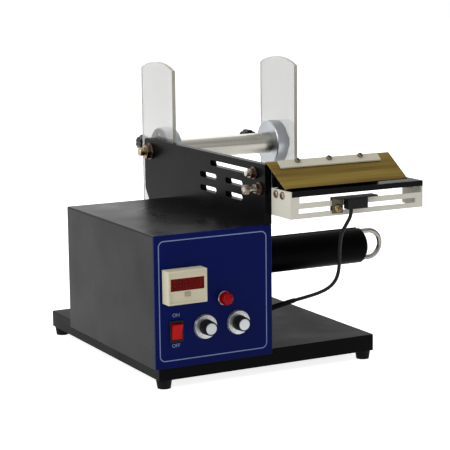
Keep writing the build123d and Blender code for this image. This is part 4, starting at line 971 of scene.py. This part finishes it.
@dataclass
class PanelPrint:
    """The pale border line and the two switch words printed on the panel."""

    maker: FinishMaker
    left_inset: float = 0.0047
    right_inset: float = 0.0067
    top_inset: float = 0.0060
    bottom_inset: float = 0.0078
    line_width: float = 0.0011
    corner: float = 0.0065
    thickness: float = 0.00012
    corner_steps: int = 10
    letter_height: float = 0.0039
    size_per_height: float = 1.4
    stroke_gain: float = 0.00008
    on_above: float = 0.0052
    off_below: float = 0.0042
    off_left: float = 0.0004

    def rounded_loop(self, low: Tuple[float, float], high: Tuple[float, float],
                     radius: float) -> List[Tuple[float, float]]:
        """Points of a rounded rectangle.

        Args:
            low: lowest x and z.
            high: highest x and z.
            radius: corner radius.

        Returns:
            The loop's points in turn.
        """
        centres = [
            (high[0] - radius, high[1] - radius, 0.0),
            (low[0] + radius, high[1] - radius, 90.0),
            (low[0] + radius, low[1] + radius, 180.0),
            (high[0] - radius, low[1] + radius, 270.0),
        ]
        points = []
        for centre_x, centre_z, start in centres:
            for step in range(self.corner_steps + 1):
                angle = math.radians(start + 90.0 * step / self.corner_steps)
                x = centre_x + radius * math.cos(angle)
                z = centre_z + radius * math.sin(angle)
                points.append((x, z))
        return points

    def border(self) -> Piece:
        """Builds the border line as a thin raised frame.

        Returns:
            The line's piece.
        """
        low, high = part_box("front_panel")
        front = low.y
        loops = []
        for width in (0.0, self.line_width):
            first = (low.x + self.left_inset + width, low.z + self.bottom_inset + width)
            last = (high.x - self.right_inset - width, high.z - self.top_inset - width)
            loops.append(self.rounded_loop(first, last, self.corner - width))
        outer, inner = loops
        work = bmesh.new()
        rings = []
        raised = self.thickness
        for loop, depth in ((outer, 0.0), (outer, raised), (inner, raised), (inner, 0.0)):
            rings.append([work.verts.new((x, front - depth, z)) for x, z in loop])
        bridge(work, rings + rings[:1])
        bmesh.ops.recalc_face_normals(work, faces=work.faces)
        mesh = finished(work, "panel_border")
        piece = new_piece("panel_border", mesh, self.maker.material(Finishes.LINE))
        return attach(piece, MACHINE)

    def word(self, text: str, centre_x: float, centre_z: float) -> Piece:
        """Builds one printed word as thin raised letters.

        Args:
            text: the word.
            centre_x: its middle, along X.
            centre_z: its middle, along Z.

        Returns:
            The word's piece.
        """
        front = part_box("front_panel")[0].y
        name = "print_" + text.lower()
        curve = bpy.data.curves.new(name, "FONT")
        curve.body = text
        curve.align_x = "CENTER"
        curve.align_y = "CENTER"
        curve.size = self.letter_height * self.size_per_height
        curve.extrude = self.thickness / 2
        curve.offset = self.stroke_gain
        mesh = drawn_mesh("drawn_" + text.lower(), curve)
        upright = Matrix.Translation((centre_x, front - self.thickness / 2, centre_z))
        mesh.transform(upright @ Matrix.Rotation(math.radians(90), 4, "X"))
        mesh.materials.clear()
        piece = new_piece(name, mesh, self.maker.material(Finishes.WORDS))
        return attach(piece, MACHINE)

    def build(self) -> None:
        """Builds the border and both words."""
        self.border()
        low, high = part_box("rocker_frame")
        middle = (low.x + high.x) / 2
        self.word("ON", middle, high.z + self.on_above)
        self.word("OFF", middle - self.off_left, low.z - self.off_below)


@dataclass
class KnobDials:
    """Fine dark graduations on the bright skirts of the two knobs."""

    maker: FinishMaker
    inner: float = 0.0092
    middle: float = 0.0108
    outer: float = 0.0125
    width: float = 0.0003
    proud: float = 0.00006
    sweep: float = 300.0
    marks: int = 41
    every: int = 4

    def dial(self, side: str) -> Piece:
        """Builds one knob's marks, which turn with it.

        Args:
            side: left or right.

        Returns:
            The marks as one piece.
        """
        low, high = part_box(side + "_knob_grip")
        middle = (low + high) / 2
        centre = Vector((middle.x, high.y - self.proud / 2, middle.z))
        work = bmesh.new()
        for index in range(self.marks):
            angle = math.radians(self.sweep * (0.5 - index / (self.marks - 1)))
            start = self.inner if index % self.every == 0 else self.middle
            length = self.outer - start
            size = Matrix.Diagonal((self.width, self.proud, length, 1.0))
            reach = Matrix.Translation((0.0, 0.0, start + length / 2))
            turn = Matrix.Translation(centre) @ Matrix.Rotation(angle, 4, "Y")
            bmesh.ops.create_cube(work, size=1.0, matrix=turn @ reach @ size)
        name = side + "_dial_marks"
        mesh = finished(work, name)
        piece = new_piece(name, mesh, self.maker.material(Finishes.DIAL))
        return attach(piece, side + "_knob")

    def build(self) -> None:
        """Marks both knobs."""
        for side in ("left", "right"):
            self.dial(side)


@dataclass
class CounterDigits:
    """Unlit seven-segment digits on the counter's display."""

    maker: FinishMaker
    count: int = 5
    width: float = 0.0044
    height: float = 0.0078
    stroke: float = 0.0009
    pitch: float = 0.0066
    depth: float = 0.0004
    bar_share: float = 0.92

    def bars(self) -> List[Tuple[float, float, float, float]]:
        """Lays out the seven bars of a digit.

        Returns:
            Each bar's centre and size in the digit's own plane.
        """
        side = self.width / 2
        half = self.height / 2
        return [
            (0.0, half, self.width, self.stroke),
            (side, half / 2, self.stroke, half),
            (side, -half / 2, self.stroke, half),
            (0.0, -half, self.width, self.stroke),
            (-side, -half / 2, self.stroke, half),
            (-side, half / 2, self.stroke, half),
            (0.0, 0.0, self.width, self.stroke),
        ]

    def build(self) -> Piece:
        """Builds all digits on the display's face.

        Returns:
            The digits as one piece.
        """
        low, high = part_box("counter_display")
        middle = (low + high) / 2
        first = middle.x - self.pitch * (self.count - 1) / 2
        face = low.y - self.depth / 2
        work = bmesh.new()
        for index in range(self.count):
            for x, z, wide, tall in self.bars():
                shape = (wide * self.bar_share, self.depth, tall * self.bar_share, 1.0)
                place = Matrix.Translation((first + index * self.pitch + x, face, middle.z + z))
                bmesh.ops.create_cube(work, size=1.0, matrix=place @ Matrix.Diagonal(shape))
        mesh = finished(work, "counter_digits")
        material = self.maker.material(Finishes.DIGIT)
        piece = new_piece("counter_digits", mesh, material)
        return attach(piece, MACHINE)


@dataclass
class SensorCable:
    """The sensor's cable, smooth from the side plate to the sensor, with its moulded relief."""

    maker: FinishMaker
    diameter: float = 0.0040
    relief_diameter: float = 0.0056
    relief_length: float = 0.044
    flange_diameter: float = 0.011
    flange_thickness: float = 0.002
    flange_round: float = 0.0004
    flange_edge: float = 0.94
    sleeve_step: float = 0.0002
    sleeve_root: float = 1.25
    sleeve_start: float = 1.2
    sleeve_taper: float = 0.25
    sleeve_end: float = 1.2
    sharp_angle: float = 50.0
    sides: int = 14
    steps: int = 8
    spline_order: int = 3
    route: Tuple[Point, ...] = (
        (0.0031, -0.1240, 0.0666),
        (0.0125, -0.1240, 0.0666),
        (0.0235, -0.1330, 0.0719),
        (0.0335, -0.1460, 0.0783),
        (0.0430, -0.1565, 0.0830),
        (0.0540, -0.1650, 0.0878),
        (0.0634, -0.1718, 0.0940),
        (0.0680, -0.1785, 0.1035),
        (0.0674, -0.1850, 0.1155),
        (0.0649, -0.1900, 0.1285),
        (0.0624, -0.1940, 0.1435),
        (0.0616, -0.1990, 0.1585),
        (0.0670, -0.2013, 0.1695),
        (0.0719, -0.20244, 0.1777),
        (0.0719, -0.20244, 0.1847),
    )

    def line(self) -> List[Vector]:
        """Draws the route as a smooth spline.

        Returns:
            Points along it.
        """
        curve = bpy.data.curves.new("cable_line", "CURVE")
        curve.dimensions = "3D"
        curve.resolution_u = self.steps
        spline = curve.splines.new("NURBS")
        spline.points.add(len(self.route) - 1)
        for point, place in zip(spline.points, self.route):
            point.co = (place[0], place[1], place[2], 1.0)
        spline.order_u = self.spline_order
        spline.use_endpoint_u = True
        mesh = drawn_mesh("cable_line", curve)
        points = [vertex.co.copy() for vertex in mesh.vertices]
        bpy.data.meshes.remove(mesh)
        return points

    def tube(self, name: str, points: Sequence[Vector], radii: Sequence[float]) -> Mesh:
        """Sweeps a round section along points.

        Args:
            name: the mesh's name.
            points: the line to follow.
            radii: the section's radius at each point.

        Returns:
            A closed tube.
        """
        work = bmesh.new()
        rings = []
        side = Vector((0.0, 0.0, 1.0))
        for index, point in enumerate(points):
            before = points[max(index - 1, 0)]
            after = points[min(index + 1, len(points) - 1)]
            along = (after - before).normalized()
            side = (side - along * side.dot(along)).normalized()
            other = along.cross(side)
            ring = []
            for step in range(self.sides):
                angle = 2 * math.pi * step / self.sides
                offset = side * math.cos(angle) + other * math.sin(angle)
                ring.append(work.verts.new(point + offset * radii[index]))
            rings.append(ring)
        bridge_closed(work, rings)
        bmesh.ops.recalc_face_normals(work, faces=work.faces)
        mesh = finished(work, name)
        smooth_by_angle(mesh, self.sharp_angle)
        return mesh

    def relief(self, points: Sequence[Vector]) -> Piece:
        """Builds the moulded relief: a flange on the plate and a tapering sleeve.

        Args:
            points: the cable's line.

        Returns:
            The relief's piece.
        """
        flange = self.flange_diameter / 2
        sleeve = self.relief_diameter / 2
        rim = flange * self.flange_edge
        outward = Vector((1.0, 0.0, 0.0))
        start = points[0]
        plate_face = start - outward * self.flange_thickness
        rounding = outward * self.flange_round
        line = [plate_face, plate_face + rounding, start - rounding, start,
                start + outward * self.sleeve_step]
        radii = [rim, flange, flange, rim, sleeve * self.sleeve_root]
        run = 0.0
        for before, here in zip(points, points[1:]):
            run += (here - before).length
            if run > self.relief_length:
                break
            line.append(here)
            taper = self.sleeve_taper * run / self.relief_length
            radii.append(sleeve * (self.sleeve_start - taper))
        radii[-1] = self.diameter / 2 * self.sleeve_end
        name = "cable_relief_sleeve"
        mesh = self.tube(name, line, radii)
        piece = new_piece(name, mesh, self.maker.material(Finishes.RUBBER))
        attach(piece, MACHINE)
        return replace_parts(piece, "cable_relief")

    def build(self) -> Piece:
        """Builds the cable along its fixed route.

        Returns:
            The cable's piece.
        """
        points = self.line()
        sleeve = self.relief(points)
        mesh = self.tube("sensor_lead", points, [self.diameter / 2] * len(points))
        piece = new_piece("sensor_lead", mesh, self.maker.material(Finishes.CABLE))
        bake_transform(piece)
        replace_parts(piece, "sensor_cable")
        return piece


@dataclass(frozen=True)
class Lamp:
    """One square soft light: where it hangs, its side and its power in watts."""

    name: str
    place: Point
    size: float
    power: float


LAMPS = (
    Lamp("key_left_above", (-2.0, -0.55, 1.45), 1.4, 18.0),
    Lamp("fill_front", (0.7, -2.2, 1.2), 1.6, 5.5),
    Lamp("back_above", (0.5, 1.6, 1.8), 1.6, 11.0),
    Lamp("fill_right_behind", (2.0, 0.9, 0.9), 1.4, 7.0),
)


@dataclass
class Studio:
    """Pale floor, soft lights, world and the camera of the picture."""

    eye: Point = (-0.8446, -1.6430, 0.4603)
    yaw: float = 27.906
    pitch: float = 9.71
    roll: float = -0.67
    lens: float = 128.4
    sensor: float = 36.0
    floor_size: float = 14.0
    floor_lift: float = 0.84
    floor_shade: float = 0.9
    floor_roughness: float = 0.9
    far_limit: float = 50.0
    centre: Point = (0.0, 0.0, 0.12)
    bright_side: Point = (-0.45, 0.6, 0.45)
    bright_span: Tuple[float, float] = (-0.6, 0.4)
    soft_levels: Tuple[float, float] = (0.12, 0.7)
    mirrored_levels: Tuple[float, float] = (0.2, 1.0)

    def camera(self) -> None:
        """Sets the camera where the picture was taken from."""
        yaw = math.radians(self.yaw)
        pitch = math.radians(self.pitch)
        roll = math.radians(self.roll)
        level = math.cos(pitch)
        forward = Vector((math.sin(yaw) * level, math.cos(yaw) * level, -math.sin(pitch)))
        right = Vector((math.cos(yaw), -math.sin(yaw), 0.0))
        up = right.cross(forward)
        turned_right = right * math.cos(roll) + up * math.sin(roll)
        turned_up = up * math.cos(roll) - right * math.sin(roll)
        matrix = Matrix((turned_right, turned_up, -forward)).transposed().to_4x4()
        matrix.translation = Vector(self.eye)
        data = bpy.data.cameras.new("picture_camera")
        data.lens = self.lens
        data.sensor_width = self.sensor
        data.clip_end = self.far_limit
        camera = bpy.data.objects.new("picture_camera", data)
        camera.matrix_world = matrix
        bpy.context.scene.collection.objects.link(camera)
        bpy.context.scene.camera = camera

    @staticmethod
    def larger(tree: Tree, first: Socket, second: Socket) -> Socket:
        """Gives the larger of two values."""
        return add_node(tree, "ShaderNodeMath", {0: first, 1: second}, "Value", operation="MAXIMUM")

    def background_rays(self, tree: Tree, *names: str) -> Socket:
        """Tells the rays that see the background.

        Args:
            tree: the tree that takes the nodes.
            names: the kinds of ray besides those from the eye.

        Returns:
            1 for those rays, else 0.
        """
        path = tree.nodes.new("ShaderNodeLightPath")
        value = path.outputs["Is Camera Ray"]
        for name in names:
            value = self.larger(tree, value, path.outputs[name])
        return value

    def facing(self, tree: Tree, low: float, high: float) -> Socket:
        """Makes a brightness that rises from the front right to the left, the back and above.

        Args:
            tree: the world's tree.
            low: the least brightness.
            high: the most.

        Returns:
            The brightness.
        """
        place = tree.nodes.new("ShaderNodeTexCoord").outputs["Generated"]
        side = add_node(tree, "ShaderNodeVectorMath", {0: place, 1: self.bright_side}, "Value",
                        operation="DOT_PRODUCT")
        return spread(tree, side, *self.bright_span, low, high)

    def floor(self) -> None:
        """Lays a pale floor that is white to the eye and still takes the machine's shadow."""
        half = self.floor_size / 2
        mesh = bpy.data.meshes.new("studio_floor")
        corners = [(-half, -half, 0.0), (half, -half, 0.0), (half, half, 0.0), (-half, half, 0.0)]
        mesh.from_pydata(corners, [], [(0, 1, 2, 3)])
        material = bpy.data.materials.new("floor_pale")
        material.use_nodes = True
        tree = material.node_tree
        seen = self.background_rays(tree, "Is Glossy Ray", "Is Transmission Ray")
        lift = add_node(tree, "ShaderNodeMath", {0: seen, 1: self.floor_lift}, "Value",
                        operation="MULTIPLY")
        values = {
            "Base Color": (self.floor_shade,) * 3 + (1.0,),
            "Roughness": self.floor_roughness,
            "Emission Color": (1.0, 1.0, 1.0, 1.0),
            "Emission Strength": lift,
        }
        shader = tree.nodes["Principled BSDF"]
        for name, value in values.items():
            feed(tree, shader.inputs[name], value)
        mesh.materials.append(material)
        floor = bpy.data.objects.new("studio_floor", mesh)
        bpy.context.scene.collection.objects.link(floor)

    def hang(self, lamp: Lamp) -> None:
        """Hangs one soft light that faces the machine's middle.

        Args:
            lamp: the light.
        """
        data = bpy.data.lights.new(lamp.name, "AREA")
        data.size = lamp.size
        data.energy = lamp.power
        light = bpy.data.objects.new(lamp.name, data)
        light.location = lamp.place
        aim = Vector(self.centre) - Vector(lamp.place)
        light.rotation_euler = aim.to_track_quat("-Z", "Y").to_euler()
        bpy.context.scene.collection.objects.link(light)

    def world(self) -> None:
        """Sets a world that is white to the eye and in clear parts, and soft for the rest."""
        world = bpy.data.worlds.new("studio_world")
        bpy.context.scene.world = world
        world.use_nodes = True
        tree = world.node_tree
        tree.nodes.clear()
        level = self.facing(tree, *self.soft_levels)
        soft = add_node(tree, "ShaderNodeBackground", {"Strength": level}, "Background")
        mirrored = self.facing(tree, *self.mirrored_levels)
        shown = self.larger(tree, mirrored, self.background_rays(tree, "Is Transmission Ray"))
        inputs = {"Color": (1.0, 1.0, 1.0, 1.0), "Strength": shown}
        white = add_node(tree, "ShaderNodeBackground", inputs, "Background")
        seen = self.background_rays(tree, "Is Glossy Ray", "Is Transmission Ray")
        mix = add_node(tree, "ShaderNodeMixShader", {0: seen, 1: soft, 2: white}, "Shader")
        tree.links.new(mix, tree.nodes.new("ShaderNodeOutputWorld").inputs["Surface"])

    def build(self) -> None:
        """Sets the camera, floor, lights and world."""
        self.camera()
        self.floor()
        self.world()
        for lamp in LAMPS:
            self.hang(lamp)
        bpy.context.scene.view_settings.view_transform = "Standard"


def main() -> None:
    """Loads the frame, dresses the machine and sets the studio."""
    logging.basicConfig(level=logging.INFO)
    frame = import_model()
    slots = {part["node"]: part["material_slot"] for part in frame["record"]["subparts"]}
    maker = FinishMaker()
    dresser = SolidDresser(maker, frame["nodes"], slots)
    dresser.dress()
    TurnedParts(dresser).build()
    MixedParts(dresser, frame["joints"]).build()
    Fasteners(maker, frame["nodes"]).build()
    GapShadePlate(maker, frame["nodes"]["peel_bracket"]).build()
    PanelPrint(maker).build()
    KnobDials(maker).build()
    CounterDigits(maker).build()
    SensorCable(maker).build()
    Studio().build()


if __name__ == "__main__":
    main()
